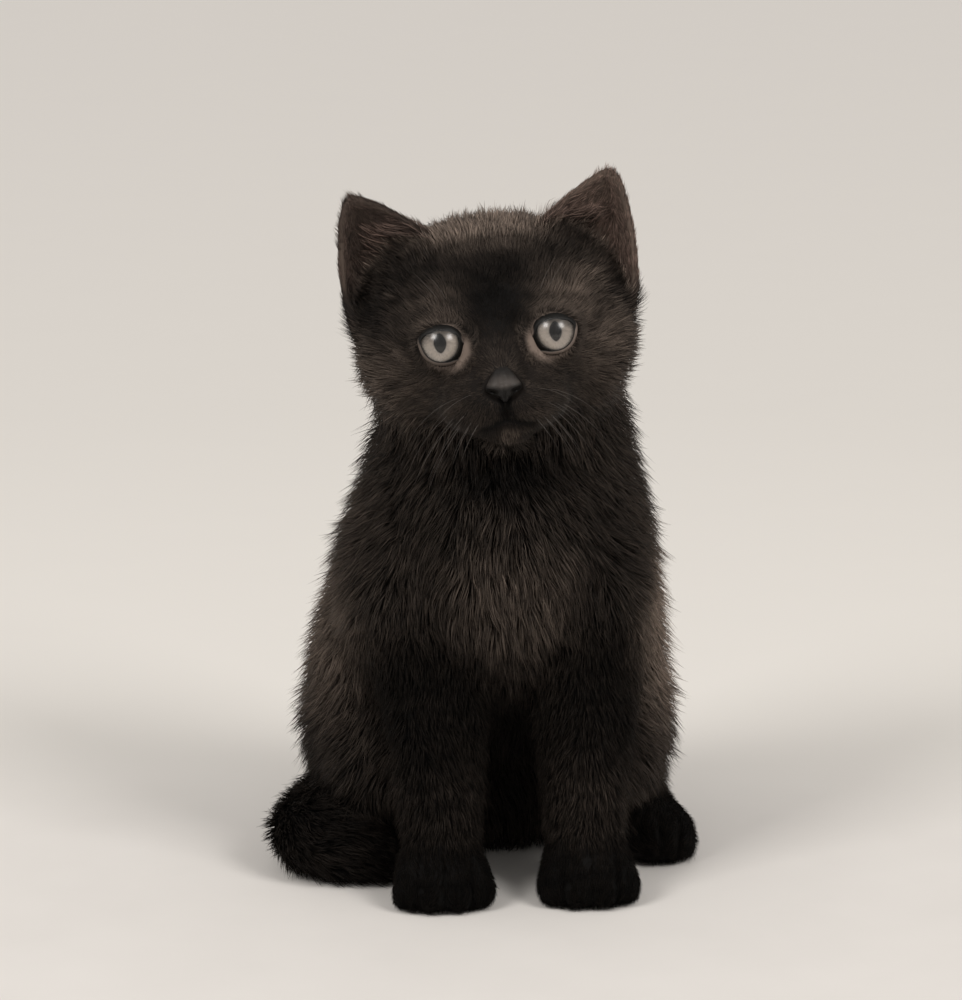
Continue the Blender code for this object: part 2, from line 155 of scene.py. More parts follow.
EYES = {side: Matrix.Translation(middle("eye_" + side)) @ HEAD_TURN @ turn(x=-5.0)
        for side in ("left", "right")}
EYE_RADIUS = (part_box("eye_left")[1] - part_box("eye_left")[0]).z / 2 / MM

hide_mesh = fused_flesh()
# The whole face is halved once, then the lids and the lips once more.
refined(hide_mesh, [(HEAD @ Vector((0, -2, -8)), 30.0), *((EYES[s].translation, 13.0) for s in EYES),
                    (HEAD @ Vector((0, -14, -22)), 11.0)])
edges = read(hide_mesh.edges, "vertices", 2, int)
count = len(hide_mesh.vertices)
valence = np.bincount(edges.ravel(), minlength=count)[:, None]


def relaxed(values, rounds, share=1.0):
    """Values on the hide's points, each moved towards its neighbours' mean a number of times."""
    values = values.astype(float)
    for _ in range(rounds):
        total = np.empty_like(values)
        for k in range(values.shape[1]):
            v = values[:, k]
            total[:, k] = (np.bincount(edges[:, 0], v[edges[:, 1]], count)
                           + np.bincount(edges[:, 1], v[edges[:, 0]], count))
        values = values + share * (total / valence - values)
    return values


def normals_of(points):
    """The hide's normals with its points there, in the frame of the points."""
    hide_mesh.vertices.foreach_set("co", (points * MM).astype(np.float32).ravel())
    hide_mesh.update()
    return read(hide_mesh.vertices, "normal", 3)


outline = relaxed(read(hide_mesh.vertices, "co", 3) / MM, HIDE_RELAX, 0.5)
outward = unit(relaxed(normals_of(outline), 4))

# What the coat is like on each part: depth over the hide, hair length, lift at the root in degrees,
# tufts to the square mm, and width of a tuft, all in mm.
COAT = {
    "trunk": (5.2, 11.0, 34, 1.35, 0.36),
    "neck": (4.8, 10.5, 36, 1.5, 0.35),
    "thigh": (5.2, 10.5, 36, 1.4, 0.36),
    "foreleg": (2.4, 6.0, 27, 2.0, 0.33),
    "forepaw": (1.3, 3.2, 22, 4.0, 0.32),
    "hindfoot": (1.6, 3.8, 24, 3.4, 0.32),
    "tail": (3.2, 8.0, 24, 2.2, 0.34),
    "ear": (0.5, 2.4, 13, 5.0, 0.26),
    "head": (3.0, 6.0, 26, 2.6, 0.30),
}
KINDS = list(COAT)
EAR_DEPTH = 0.7            # most that the coat adds to an ear's thin shell
COAT_BLEND = 40            # rounds of easing where one part's coat meets the next


def nearest(points, among):
    """For each point, which one of the others is nearest."""
    tree = KDTree(len(among))
    for i, p in enumerate(among):
        tree.insert(p, i)
    tree.balance()
    return np.array([tree.find(p)[1] for p in points])


def areas(corners):
    """The area of each triangle, given as its three corners."""
    return np.linalg.norm(np.cross(corners[:, 1] - corners[:, 0], corners[:, 2] - corners[:, 0]), axis=1) / 2


def kind_of_each(points):
    """For each point, which kind of part its nearest solid is."""
    samples, kinds = [], []
    chance = np.random.default_rng(SEED)
    for node in FLESH:
        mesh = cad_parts[node].data
        mesh.calc_loop_triangles()
        corners = (read(mesh.vertices, "co", 3) / MM)[read(mesh.loop_triangles, "vertices", 3, int)]
        picked = corners[np.repeat(np.arange(len(corners)), np.ceil(areas(corners) / 2).astype(int))]
        share = chance.dirichlet((1, 1, 1), len(picked))
        samples.append((picked * share[:, :, None]).sum(1))
        kinds += [KINDS.index(node.split("_")[0])] * len(picked)
    return np.array(kinds)[nearest(points, np.vstack(samples))]


kind = kind_of_each(outline)
is_ear, is_head = kind == KINDS.index("ear"), kind == KINDS.index("head")
coat_at = np.array([COAT[k] for k in KINDS], float)[kind]

# On the head the hair grows longer away from the middle of the face, and longest on cheeks and nape;
# each column is one of COAT's numbers. At the brink of the temples it lies closer.
in_head = placed(HEAD.inverted(), outline)
grows = smooth(14.0, 50.0, np.linalg.norm(in_head - (0.0, -9.0, -8.0), axis=1))
cheek = smooth(22.0, 44.0, np.abs(in_head[:, 0])) * smooth(14.0, -6.0, in_head[:, 2])
crown = smooth(22.0, 34.0, in_head[:, 2])
head_coat = np.stack([
    0.9 + 2.3 * grows + 1.2 * cheek,
    2.4 + 4.4 * grows + 2.4 * cheek,
    19.0 + 7.0 * grows + 4.0 * cheek + 8.0 * crown,
    7.0 - 4.0 * grows,
    0.24 + 0.05 * grows,
], axis=1)
brink = smooth(34.0, 42.0, np.abs(in_head[:, 0])) * smooth(-12.0, 0.0, in_head[:, 2])
head_coat[:, 1] *= 1 - 0.25 * brink
head_coat[:, 2] -= 7.0 * brink
coat_at[is_head] = head_coat[is_head]
coat_at = relaxed(coat_at, COAT_BLEND)
coat_at[is_ear, 0] = np.minimum(coat_at[is_ear, 0], EAR_DEPTH)
coat_at[:, 0] = relaxed(coat_at[:, :1], 3)[:, 0]
hide = relaxed(outline - outward * coat_at[:, :1], 2, 0.5)

# The step where paw meets leg is eased away.
wrist = smooth(0.0, 12.0, outline[:, 2]) * smooth(38.0, 26.0, outline[:, 2]) * relaxed(
    np.isin(kind, [KINDS.index(k) for k in ("foreleg", "forepaw", "hindfoot")])[:, None], 6)[:, 0]
hide += (relaxed(hide, 24) - hide) * wrist[:, None]
hide[:, 2] = np.maximum(hide[:, 2], HIDE_LOWEST)

# ------------------------------------------------------------
# Face. Lids, lips and toes are folds of the same hide: the hide dips behind each eyeball inside the
# lids' edge, splits at the lip below the nose, and sinks between the toes.

# The gap between the lids, seen from the front of an eye: towards the temple, and up.
LID_LINE = ((-7.2, -3.6), (-5.6, -4.6), (-3.0, -5.4), (0.0, -5.7), (2.6, -5.1), (4.4, -3.7),
            (5.6, -1.3), (6.0, 0.5), (5.7, 1.4), (4.7, 2.3), (2.4, 2.9), (-0.8, 3.1),
            (-3.3, 2.6), (-4.6, 1.7), (-5.5, 0.2), (-6.3, -1.7))
LID_STEPS, LID_ROUNDS = 128, 2


def lid_table():
    """Distance of the lids' edge from the middle of the eye, at even steps of angle."""
    line = np.array(LID_LINE)
    angle, reach = np.arctan2(line[:, 1], line[:, 0]), np.hypot(line[:, 0], line[:, 1])
    steps = np.arange(LID_STEPS) * 2 * math.pi / LID_STEPS - math.pi
    table = np.interp(steps, angle, reach, period=2 * math.pi)
    for _ in range(LID_ROUNDS):
        table = (np.roll(table, 1) + 2 * table + np.roll(table, -1)) / 4
    return steps, table


LID_ANGLES, LID_REACH = lid_table()


def lid_edge(angle):
    return np.interp(angle, LID_ANGLES, LID_REACH, period=2 * math.pi)


def round_eye(points, side):
    """Each point's distance outside the lids' edge along the ball, its angle round the eye, and its range."""
    local = placed(EYES[side].inverted(), points)
    local[:, 0] *= 1 if side == "left" else -1
    far = np.linalg.norm(local, axis=1)
    swing = np.arccos(np.clip(-local[:, 1] / np.maximum(far, 1e-6), -1, 1))
    angle = np.arctan2(local[:, 2], local[:, 0])
    edge = np.arcsin(np.clip(lid_edge(angle) / EYE_RADIUS, 0, 0.999))
    return EYE_RADIUS * (swing - edge), angle, far


def within(points, centre, sizes):
    """How far each point is from a centre, as a share of the half sizes of an ellipsoid there."""
    return np.linalg.norm((points - centre) / sizes, axis=1)


def eased(points, share, rounds):
    """Smooths the hide where share is 1, each point moving only straight out or in."""
    for _ in range(rounds):
        out = normals_of(points)
        points = points + out * (((relaxed(points, 1) - points) * out).sum(1) * share)[:, None]
    return points


# The hide runs inside each eyeball, steps out under the lid, and is eased where it meets the brow.
SOCKET_RADIUS, LID_STAND = 3.4, 0.3
for side in EYES:
    past, angle, far = round_eye(hide, side)
    crease = past - 0.7 * smooth(0.0, 0.7, np.sin(angle))
    lid = SOCKET_RADIUS + (EYE_RADIUS + LID_STAND - SOCKET_RADIUS) * smooth(0.6, 1.4, crease)
    high = far - EYE_RADIUS
    hold = smooth(6.5, 2.0, past + 0.5 * np.maximum(high - 3.5, 0)) * smooth(9.5, 6.0, high)
    target = lid * hold + far * (1 - hold)
    centre = np.array(EYES[side].translation)
    hide = centre + (hide - centre) * (target / np.maximum(far, 1e-6))[:, None]
    past, angle, far = round_eye(hide, side)
    share = smooth(1.8, 3.2, past) * smooth(12.0, 8.0, past) * smooth(12.0, 8.0, far - EYE_RADIUS)
    hide = eased(hide, share, 14)


def stretch_away(points, a, b):
    """Distance of each point from the stretch between a and b."""
    a, b = np.array(a, float), np.array(b, float)
    t = np.clip((points - a) @ (b - a) / ((b - a) @ (b - a)), 0, 1)
    return np.linalg.norm(points - a - t[:, None] * (b - a), axis=1)


def furrow(points, line, width, depth, way):
    """Sinks the points near a line of points by depth, along a fixed way."""
    for a, b in zip(line, line[1:]):
        sunk = depth * np.exp(-(stretch_away(points, a, b) / width) ** 2)
        points = points + np.array(way) * sunk[:, None]
    return points


# Lip pads are full and round, and the hide sinks under the nose leather to seat it.
local = placed(HEAD.inverted(), hide)
jowls = np.abs(local) * (1, 0, 0) + local * (0, 1, 1)
local = eased(local, smooth(1.4, 0.6, within(jowls, (17.0, -4.0, -20.0), (9.0, 14.0, 15.0))), 60)
local[:, 1] += 1.6 * smooth(1.25, 0.8, within(local, (0, -17.5, -14.4), (5.2, 5.0, 4.2)))


def laid(line):
    """A line of points given by x and z, set on the front of the hide."""
    front = [local[np.hypot(local[:, 0] - x, local[:, 2] - z) < 1.1, 1].min() for x, z in line]
    return tuple((x, y, z) for (x, z), y in zip(line, front))


# The lip: a short cleft below the nose, then the mouth's line to each side.
CLEFT = laid(((0, -18.4), (0, -20.4), (0, -22.4), (0, -24.2)))
MOUTH = {s: laid(((0, -24.2), (s * 2.2, -25.1), (s * 4.4, -25.9), (s * 6.4, -26.3)))
         for s in (1, -1)}
local = furrow(local, CLEFT, 1.0, 1.3, (0, 1, 0))
for s in (1, -1):
    local = furrow(local, MOUTH[s], 1.0, 1.3, (0, 1, 0.25))
hide = placed(HEAD, local)

# Toes: three furrows down the front of each foot, the outer ones set back with the foot's round end.
TOE_GAPS = (-8.2, 0.0, 8.2)
TOE_BACK = 0.035
FOREPAW_WIDTH, HIND_WIDTH = 17, 14.0
FOREPAW_X = {s: 3.1 + s * 22.3 for s in (1, -1)}
HIND_TOES = {1: (51.0, 3.5), -1: (-37.0, 17.0)}
local = placed(TRUNK.inverted(), hide)
for s in (1, -1):
    for gap in TOE_GAPS:
        x, back = FOREPAW_X[s] + gap, TOE_BACK * gap**2
        line = ((x, -43 + back, 17.5), (x, -49 + back, 9.5), (x, -49 + back, 1.0))
        local = furrow(local, line, 1.1, 1.5, (0, 1, -0.3))
        x, y = HIND_TOES[s][0] + gap * HIND_WIDTH / FOREPAW_WIDTH, HIND_TOES[s][1]
        line = ((x, y - 9 + back, 17), (x, y - 15 + back, 9), (x, y - 15 + back, 1))
        local = furrow(local, line, 1.0, 1.3, (0, 1, -0.3))
hide = placed(TRUNK, local)
hide_normals = unit(normals_of(hide))

# ------------------------------------------------------------
# Lie of the coat. Hair points away from the nose over the head, down and back over the body, down
# the legs, forward over the feet and along the tail; neighbouring hairs lean together in drifts.

TAIL_LINE = np.array(((4, 66, 21), (-14, 66, 14), (-32, 54, 12.3), (-43, 34, 11.8), (-50, 14, 11.8),
                      (-54, -3, 12), (-50, -13, 11.8), (-41, -17, 11), (-35, -18, 9.4)), float)
TAIL_LINE += np.array(TRUNK.translation) - (4.0, 0.0, 0.0)
EAR_RISE = (0.36, 0.12, 0.9)
NAPE_FALL = 1.1
NOSE_SOURCE = (0.0, -19.0, -12.0)
BODY_WAY = (0.0, 0.28, -1.0)
STEADY_WAYS = {"trunk": BODY_WAY, "neck": BODY_WAY, "thigh": BODY_WAY, "foreleg": (0.0, -0.12, -1.0),
               "forepaw": (0.0, -0.9, -0.5), "hindfoot": (0.0, -1.0, -0.15)}


def along_tail(points):
    """The way along the tail at each point, mixed from the stretches near it."""
    steps = unit(TAIL_LINE[1:] - TAIL_LINE[:-1])
    away = np.linalg.norm(points[:, None] - (TAIL_LINE[1:] + TAIL_LINE[:-1])[None] / 2, axis=2)
    near = away ** -4.0
    return unit((near[:, :, None] * steps[None]).sum(1))


def lie_of_coat(points, ways_out):
    """The way that the hair lies along the hide; round each eye it points away from the pupil."""
    local = placed(HEAD.inverted(), points)
    head_way = unit(local - NOSE_SOURCE)
    head_way[:, 2] -= NAPE_FALL * smooth(8.0, 40.0, local[:, 1])
    head_way = turned(HEAD, head_way)
    ear_way = turned(HEAD, np.where(local[:, :1] > 0, 1, -1) * (EAR_RISE[0], 0, 0) + (0, *EAR_RISE[1:]))
    by_kind = {k: np.tile(way, (len(points), 1)) for k, way in STEADY_WAYS.items()}
    for k in ("trunk", "neck", "thigh"):
        by_kind[k] = by_kind[k] + (0.004, 0, 0) * points
    by_kind.update(tail=along_tail(points), ear=ear_way, head=head_way)
    ways = np.stack([by_kind[k] for k in KINDS])[kind, np.arange(len(points))]
    ways = relaxed(unit(ways), 25)
    for side in EYES:
        past, _, far = round_eye(points, side)
        turns = (smooth(5.0, 1.0, past) * smooth(EYE_RADIUS + 8.0, EYE_RADIUS + 4.0, far))[:, None]
        clear = unit(points - np.array(EYES[side] @ Vector((0, -EYE_RADIUS, 0))))
        ways = ways * (1 - turns) + clear * turns
    ways -= ways_out * (ways * ways_out).sum(1)[:, None]
    return unit(ways)


DRIFT_WAVES, DRIFT_RANGE = 6, 3.5


def drift(points, size, seed):
    """A smooth value, about -1 to 1, that changes over about size mm: a few waves in random ways."""
    chance = np.random.default_rng(seed)
    total = np.zeros(len(points))
    for _ in range(DRIFT_WAVES):
        way = unit(chance.normal(size=3)) * chance.uniform(0.7, 1.4) * 2 * math.pi / size
        total += np.sin(points @ way + chance.uniform(0, 2 * math.pi))
    return total / DRIFT_RANGE


comb = lie_of_coat(hide, hide_normals)

# ------------------------------------------------------------
# Finishes of hide and coat. The kitten is black with a brown cast: hairs are darkest at the root, and
# browner at the tip. Thin, sparse hair lets a taupe skin show round the eyes. Hide and coat share it,
# and share a painted light and shade: lighter where the lamps catch the coat, darker where shade falls.

SKIN_DARK = (0.011, 0.0082, 0.0066)
HAIR_ROOT = (0.012, 0.009, 0.007)
HAIR_TIP = (0.098, 0.077, 0.063)
EYE_SURROUND = (0.128, 0.100, 0.083)
# How light each part's coat is; the feet, tail and forelegs are darkened by a painted shade, as the light
# falls from above.
PART_TONE_AND_SHADE = {"trunk": 0.95, "neck": 0.7, "thigh": 0.9, "foreleg": 0.45, "forepaw": 0.12, "hindfoot": 0.18,
             "tail": 0.2, "ear": 0.36, "head": 1.0}

# Lighter and darker places on head and body: middle and half sizes in mm, and share of the tone around.
# Most are painted light and shade, such as the lit flanks and the painted shadow under the chin, under
# the lip pads and between the forelegs; a few, such as the pale chin patch, are the coat's own marks.
LIGHT_SHADE_AND_MARK_PLACES = (
    (HEAD, (((0, 3, 13), (17, 18, 15), 0.3), ((19, 6, 21), (10, 14, 7), 0.5),
            ((-22, 6, 21), (12, 16, 8), 0.45), ((0, -4, 3), (8, 10, 12), 0.35),
            ((19, 0, 11), (13, 12, 10), 2.1), ((-19, 0, 10), (12, 12, 10), 1.9),
            ((28, 6, 4), (11, 14, 16), 1.5), ((-28, 6, 8), (10, 14, 13), 0.6),
            ((39, 6, 11), (7, 20, 6), 0.3), ((-38, 6, 14), (9, 20, 10), 0.3),
            ((0, 13, 30), (23, 18, 12), 4.2), ((11, -8, -5), (6, 12, 6), 1.9),
            ((-11, -8, -5), (6, 12, 6), 1.3), ((34, 6, -12), (14, 20, 14), 1.6),
            ((-34, 6, -12), (14, 20, 14), 1.8), ((0, -14, -28.5), (3.0, 8, 2.8), 2.8),
            ((15, -6, -29), (9, 12, 5), 0.4), ((-15, -6, -29), (9, 12, 5), 0.4),
            ((0, 2, -39), (26, 18, 9), 0.25))),
    (TRUNK, (((31, -24, 62), (22, 24, 22), 0.5), ((-23, -24, 62), (22, 24, 22), 0.4),
             ((31, -40, 36), (16, 24, 22), 1.25), ((-23, -40, 36), (16, 24, 22), 0.8),
             ((3, -5, 40), (15, 40, 40), 0.4), ((3, -38, 100), (22, 20, 22), 1.6),
             ((33, -30, 105), (16, 20, 26), 0.6), ((-28, -30, 105), (16, 20, 26), 0.7),
             ((54, 0, 80), (17, 60, 36), 4.5), ((-52, 10, 80), (14, 50, 30), 2.4),
             ((-50, 0, 32), (14, 50, 18), 0.6))),
)


def lip_away(line):
    """Distance of each point of the hide from a line laid on it, in the head's frame."""
    points = placed(HEAD.inverted(), hide)
    return np.min([stretch_away(points, a, b) for a, b in zip(line, line[1:])], axis=0)


def light_and_tone_of_each():
    """How light the coat is at each point of the hide, as a share: its own tone with painted light and shade.
    """
    tone = relaxed(np.array([PART_TONE_AND_SHADE[k] for k in KINDS])[kind][:, None], 25)[:, 0]
    for matrix, places in LIGHT_SHADE_AND_MARK_PLACES:
        local = placed(matrix.inverted(), hide)
        for centre, sizes, share in places:
            tone *= 1 + (share - 1) * smooth(1.3, 0.5, within(local, centre, sizes))
    # A painted shade darkens the coat in the lip's cleft and along the mouth's furrows.
    away = np.min([lip_away(line) for line in (CLEFT, MOUTH[1], MOUTH[-1])], axis=0)
    return tone * (0.12 + 0.88 * smooth(1.0, 2.8, away))


light_and_tone_at = light_and_tone_of_each()
inner_ear = is_ear & ((turned(HEAD.inverted(), hide_normals)[:, 1]) < -0.15)
# Painted shade: each ear's cup is darker deep down, below these heights.
EAR_DEPTHS = {1: (4.0, 14.0), -1: (11.0, 23.0)}     # heights between which each cup's floor grows lighter


def ear_light(points):
    """A painted shade: 0 deep in the cup of an ear, 1 over most of it."""
    across, _, up = placed(HEAD.inverted(), points).T
    return np.where(across > 0, smooth(*EAR_DEPTHS[1], up), smooth(*EAR_DEPTHS[-1], up))


# The left ear opens more to the light, so its skin is lighter.
EAR_GLOW, LEFT_GLOW = 5.5, 3.0
glow = (EAR_GLOW + LEFT_GLOW * (in_head[:, 0] > 0)) * ear_light(hide)
light_and_tone_at[inner_ear] = 1.0 + glow[inner_ear]
light_and_tone_at = relaxed(light_and_tone_at[:, None], 2)[:, 0]


def grouped(title, kind, takes, gives):
    """A new node group with named sockets: pairs of name and type that it takes, and one that it gives."""
    tree = bpy.data.node_groups.new(title, kind)
    for name, what in takes:
        tree.interface.new_socket(name, in_out="INPUT", socket_type="NodeSocket" + what)
    tree.interface.new_socket(gives, in_out="OUTPUT", socket_type="NodeSocket" + gives)
    return tree


def wired(tree, parts, routes):
    """Adds nodes to a tree and links them.

    parts: each node's name to its kind and settings. A number or a name with a capital is an input, and
    any other a property. routes: "node.Output > node.Input", where a socket not named is the first."""
    nodes = {}
    for name, (kind, *settings) in parts.items():
        if isinstance(kind, str):
            kind = tree.nodes.new(kind if kind.startswith(("Node", "Geometry")) else "ShaderNode" + kind)
        nodes[name] = kind
        for key, value in (settings[0] if settings else {}).items():
            if isinstance(key, int) or key[0].isupper():
                socket = kind.inputs[key]
                socket.default_value = (*value, 1) if socket.type == "RGBA" else value
            else:
                setattr(kind, key, value)
    for route in routes.split(","):
        ends = []
        for place, side in zip(route.split(">"), ("outputs", "inputs")):
            name, _, socket = place.strip().partition(".")
            socket = socket or "0"
            ends.append(getattr(nodes[name], side)[int(socket) if socket.isdigit() else socket])
        tree.links.new(*ends)


def markings_group():
    """Colour of hair or skin at a place: the base, mottled, and lighter on the thin hair round each eye."""
    # The Tone input carries the coat's painted light and shade as well as its own tone.
    takes = (("Place", "Vector"), ("Base", "Color"), ("Eye surround", "Color"), ("Tone", "Float"),
             ("Mottle", "Float"))
    tree = grouped("kitten markings", "ShaderNodeTree", takes, "Color")
    ring = {"interpolation_type": "SMOOTHSTEP", "From Min": 8.6 * MM, "From Max": 6.4 * MM}
    eye = {s: EYES[s] @ Vector((x, -EYE_RADIUS, -2.0)) * MM for s, x in (("left", -1.0), ("right", 1.0))}
    wired(tree, {
        "start": ("NodeGroupInput",), "end": ("NodeGroupOutput",),
        "from_left": ("VectorMath", {"operation": "DISTANCE", 1: eye["left"]}),
        "from_right": ("VectorMath", {"operation": "DISTANCE", 1: eye["right"]}),
        "left": ("MapRange", ring), "right": ("MapRange", ring), "near": ("Math", {"operation": "MAXIMUM"}),
        "noise": ("TexNoise", {"Scale": 55.0, "Detail": 3.0}),
        "spread": ("MapRange", {"From Min": 0.3, "From Max": 0.7, "To Min": 0.0}),
        "mottle": ("Math", {"operation": "SUBTRACT", 0: 1.0}), "level": ("Math", {"operation": "MULTIPLY"}),
        "share": ("MapRange", {"From Min": 0.2, "From Max": 1.4, "To Min": 0.8, "To Max": 1.5}),
        "shade": ("VectorMath", {"operation": "SCALE"}), "thin": ("VectorMath", {"operation": "SCALE"}),
        "mix": ("MixRGB",),
    }, """start.Place > from_left, start.Place > from_right, from_left.Value > left, from_right.Value > right,
        left > near.0, right > near.1, start.Place > noise.Vector, noise.Fac > spread,
        start.Mottle > spread.To Max, spread > mottle.1, mottle > level.0, start.Tone > level.1,
        start.Base > shade, level > shade.Scale, level > share, start.Eye surround > thin, share > thin.Scale,
        near > mix.Fac, shade > mix.Color1, thin > mix.Color2, mix > end.Color""")
    return tree


markings = markings_group()


def material(name, constants, stored="", parts=None, routes=None):
    """A Principled material with constants on the shader's own sockets, and nodes that feed the others.

    stored: names of the values on the mesh's points that it reads, each by a node of that name."""
    made = bpy.data.materials.new(name)
    made.use_nodes = True
    shader = made.node_tree.nodes["Principled BSDF"]
    for socket, value in constants.items():
        shader.inputs[socket].default_value = value
    if parts:
        reads = {value: ("Attribute", {"attribute_name": value}) for value in stored.split()}
        wired(made.node_tree, {"shader": (shader,), "place": ("TexCoord",), **reads, **parts}, routes)
    return made


def skin_material():
    return material("kitten skin", {"Specular IOR Level": 0.12}, "tone", {
        "colour": ("Group", {"node_tree": markings, "Base": SKIN_DARK, "Eye surround": EYE_SURROUND,
                             "Mottle": 0.5}),
        "nap": ("TexNoise", {"Scale": 1500.0, "Detail": 4.0}),
        "rough": ("MapRange", {"To Min": 0.6, "To Max": 0.9}),
        "bump": ("Bump", {"Strength": 0.5, "Distance": 0.3 * MM}),
    }, """place.Object > colour.Place, colour > shader.Base Color, tone.Fac > colour.Tone,
        place.Object > nap.Vector, nap.Fac > bump.Height, nap.Fac > rough, rough > shader.Roughness,
        bump > shader.Normal""")


def hair_material(name, root, tip, gloss):
    """Hair: dark at the root and lighter at the tip, with each tuft a little lighter or darker."""
    return material(name, {"Specular IOR Level": gloss}, "along tone", {
        "mix": ("MixRGB", {"Color1": root, "Color2": tip}),
        "colour": ("Group", {"node_tree": markings, "Eye surround": EYE_SURROUND, "Mottle": 0.35}),
        "rough": ("MapRange", {"To Min": 0.66, "To Max": 0.50}),
    }, """along.Fac > mix.Fac, mix > colour.Base, tone.Fac > colour.Tone, place.Object > colour.Place,
        colour > shader.Base Color, along.Fac > rough, rough > shader.Roughness""")


def painted(mesh, name, values):
    """Stores a value, or a vector, on each point of a mesh, for its material."""
    vector = values.shape[1:] == (3,)
    stored = mesh.attributes.new(name, "FLOAT_VECTOR" if vector else "FLOAT", "POINT")
    stored.data.foreach_set("vector" if vector else "value", values.astype(np.float32).ravel())


plush = hair_material("black plush", HAIR_ROOT, HAIR_TIP, 0.13)
close_hair = hair_material("close black hair", HAIR_ROOT, HAIR_TIP, 0.08)
ear_hair = hair_material("fine brown hair", (0.032, 0.021, 0.016), (0.18, 0.122, 0.10), 0.25)

hide_mesh.vertices.foreach_set("co", (hide * MM).astype(np.float32).ravel())
hide_mesh.update()
painted(hide_mesh, "tone", light_and_tone_at)
skin = object_of("skin", hide_mesh)
hide_mesh.shade_smooth()
hide_mesh.materials.clear()
hide_mesh.materials.append(skin_material())
bpy.context.view_layer.objects.active = skin
skin.select_set(True)
hide_mesh.uv_layers.new(name="OFBake")
bpy.ops.object.mode_set(mode="EDIT")
bpy.ops.mesh.select_all(action="SELECT")
bpy.ops.uv.smart_project(angle_limit=math.radians(72), island_margin=0.002)
bpy.ops.object.mode_set(mode="OBJECT")
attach(skin, "root")
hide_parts(*FLESH)

# ------------------------------------------------------------
# Coat. Locks of plush hair grow out of the hide in drifts, each a thin closed spike that bends over
# to lie along the body. They are shortest on face and feet, and stand out most on flanks and tail.

hide_mesh.calc_loop_triangles()
triangles = read(hide_mesh.loop_triangles, "vertices", 3, int)
loops = read(hide_mesh.loop_triangles, "loops", 3, int)
bake_map = read(hide_mesh.uv_layers["OFBake"].uv, "vector", 2)
area = areas(hide[triangles])
PATCH = 0.003              # side of a tuft's patch on the map
CLUMP_SHARE = 0.09         # one root in about eleven leads a clump
FLATNESS = 0.62            # a tuft's thickness as a share of its width
TAPER = 0.55               # how much of its width a tuft has lost at its last ring
ROOT_DEPTH = 0.3           # mm that a tuft starts under the hide
FLOOR_GAP = 0.25           # mm that every hair keeps over the floor
chance = np.random.default_rng(SEED)
THIN = 1.0


class Roots:
    """Places on the hide where hair grows, with everything there that shapes it."""

    def __init__(self, wanted, density):
        """wanted: 0 or 1 for each point of the hide; density: tufts to the square mm there."""
        expected = area * (wanted * density)[triangles].mean(1) * THIN
        steps = np.floor(np.cumsum(expected) + chance.random()).astype(int)
        each = np.repeat(np.arange(len(area)), np.diff(steps, prepend=0))
        share = chance.dirichlet((1, 1, 1), len(each))[:, :, None]
        corner = triangles[each]
        self.at = (hide[corner] * share).sum(1)
        self.out = unit((hide_normals[corner] * share).sum(1))
        self.lie = unit((comb[corner] * share).sum(1))
        self.coat = (coat_at[corner] * share).sum(1)
        self.tone = (light_and_tone_at[corner] * share[:, :, 0]).sum(1)
        self.map = (bake_map[loops[each]] * share).sum(1)
        self.number = len(each)

    def keep(self, chosen):
        for name in ("at", "out", "lie", "coat", "tone", "map"):
            setattr(self, name, getattr(self, name)[chosen])
        self.number = len(self.at)


def leaders(points, share):
    """For each point, the nearest of a random few: the clump that it belongs to."""
    picked = np.nonzero(chance.random(len(points)) < share)[0]
    return picked[nearest(points, points[picked])]


def spikes(name, finish, paths, ups, widths, tones, maps):
    """A mesh of closed three-sided spikes, one along each path: paths is tufts x stations x 3, in mm."""
    number, stations = paths.shape[:2]
    rings = stations - 1
    ways = unit(np.gradient(paths, axis=1))
    across = unit(np.cross(ways, ups[:, None]))
    third = np.cross(across, ways)
    share = np.arange(stations) / rings
    thick = widths[:, None] / 2 * (1 - TAPER * share[:rings] ** 1.5)
    spin = np.array((90, 210, 330)) * math.pi / 180
    ring = paths[:, :rings, None] + thick[:, :, None, None] * (
        across[:, :rings, None] * np.cos(spin)[:, None]
        + third[:, :rings, None] * FLATNESS * np.sin(spin)[:, None])
    points = np.concatenate([ring.reshape(number, rings * 3, 3), paths[:, -1:]], axis=1)
    per = rings * 3 + 1
    quads = [(r * 3 + k, r * 3 + (k + 1) % 3, r * 3 + 3 + (k + 1) % 3, r * 3 + 3 + k)
             for r in range(rings - 1) for k in range(3)]
    last = (rings - 1) * 3
    ends = [(last + k, last + (k + 1) % 3, per - 1) for k in range(3)] + [(2, 1, 0)]
    corner = np.array([i for q in quads for i in q] + [i for t in ends for i in t])
    sizes = np.array([4] * len(quads) + [3] * len(ends))
    mesh = bpy.data.meshes.new(name)
    mesh.vertices.add(number * per)
    mesh.vertices.foreach_set("co", (points * MM).astype(np.float32).ravel())
    every = (corner[None] + np.arange(number)[:, None] * per).ravel()
    mesh.loops.add(len(every))
    mesh.loops.foreach_set("vertex_index", every.astype(np.int32))
    mesh.polygons.add(number * len(sizes))
    starts = np.cumsum(np.tile(sizes, number)) - np.tile(sizes, number)
    mesh.polygons.foreach_set("loop_start", starts.astype(np.int32))
    mesh.update(calc_edges=True)
    along = np.append(np.repeat(share[:rings], 3), 1.0)
    beside = np.append(np.tile((0.0, 0.5, 1.0), rings), 0.5)
    painted(mesh, "along", np.tile(along, number))
    painted(mesh, "tone", np.repeat(tones, per))
    patch = np.stack([beside, along], axis=1)[corner] * PATCH - PATCH / 2
    uv = np.repeat(maps, len(corner), axis=0) + np.tile(patch, (number, 1))
    mesh.uv_layers.new(name="OFBake").uv.foreach_set("vector", uv.astype(np.float32).ravel())
    mesh.shade_smooth()
    mesh.materials.append(finish)
    piece = object_of(name, mesh)
    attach(piece, "root")
    return piece


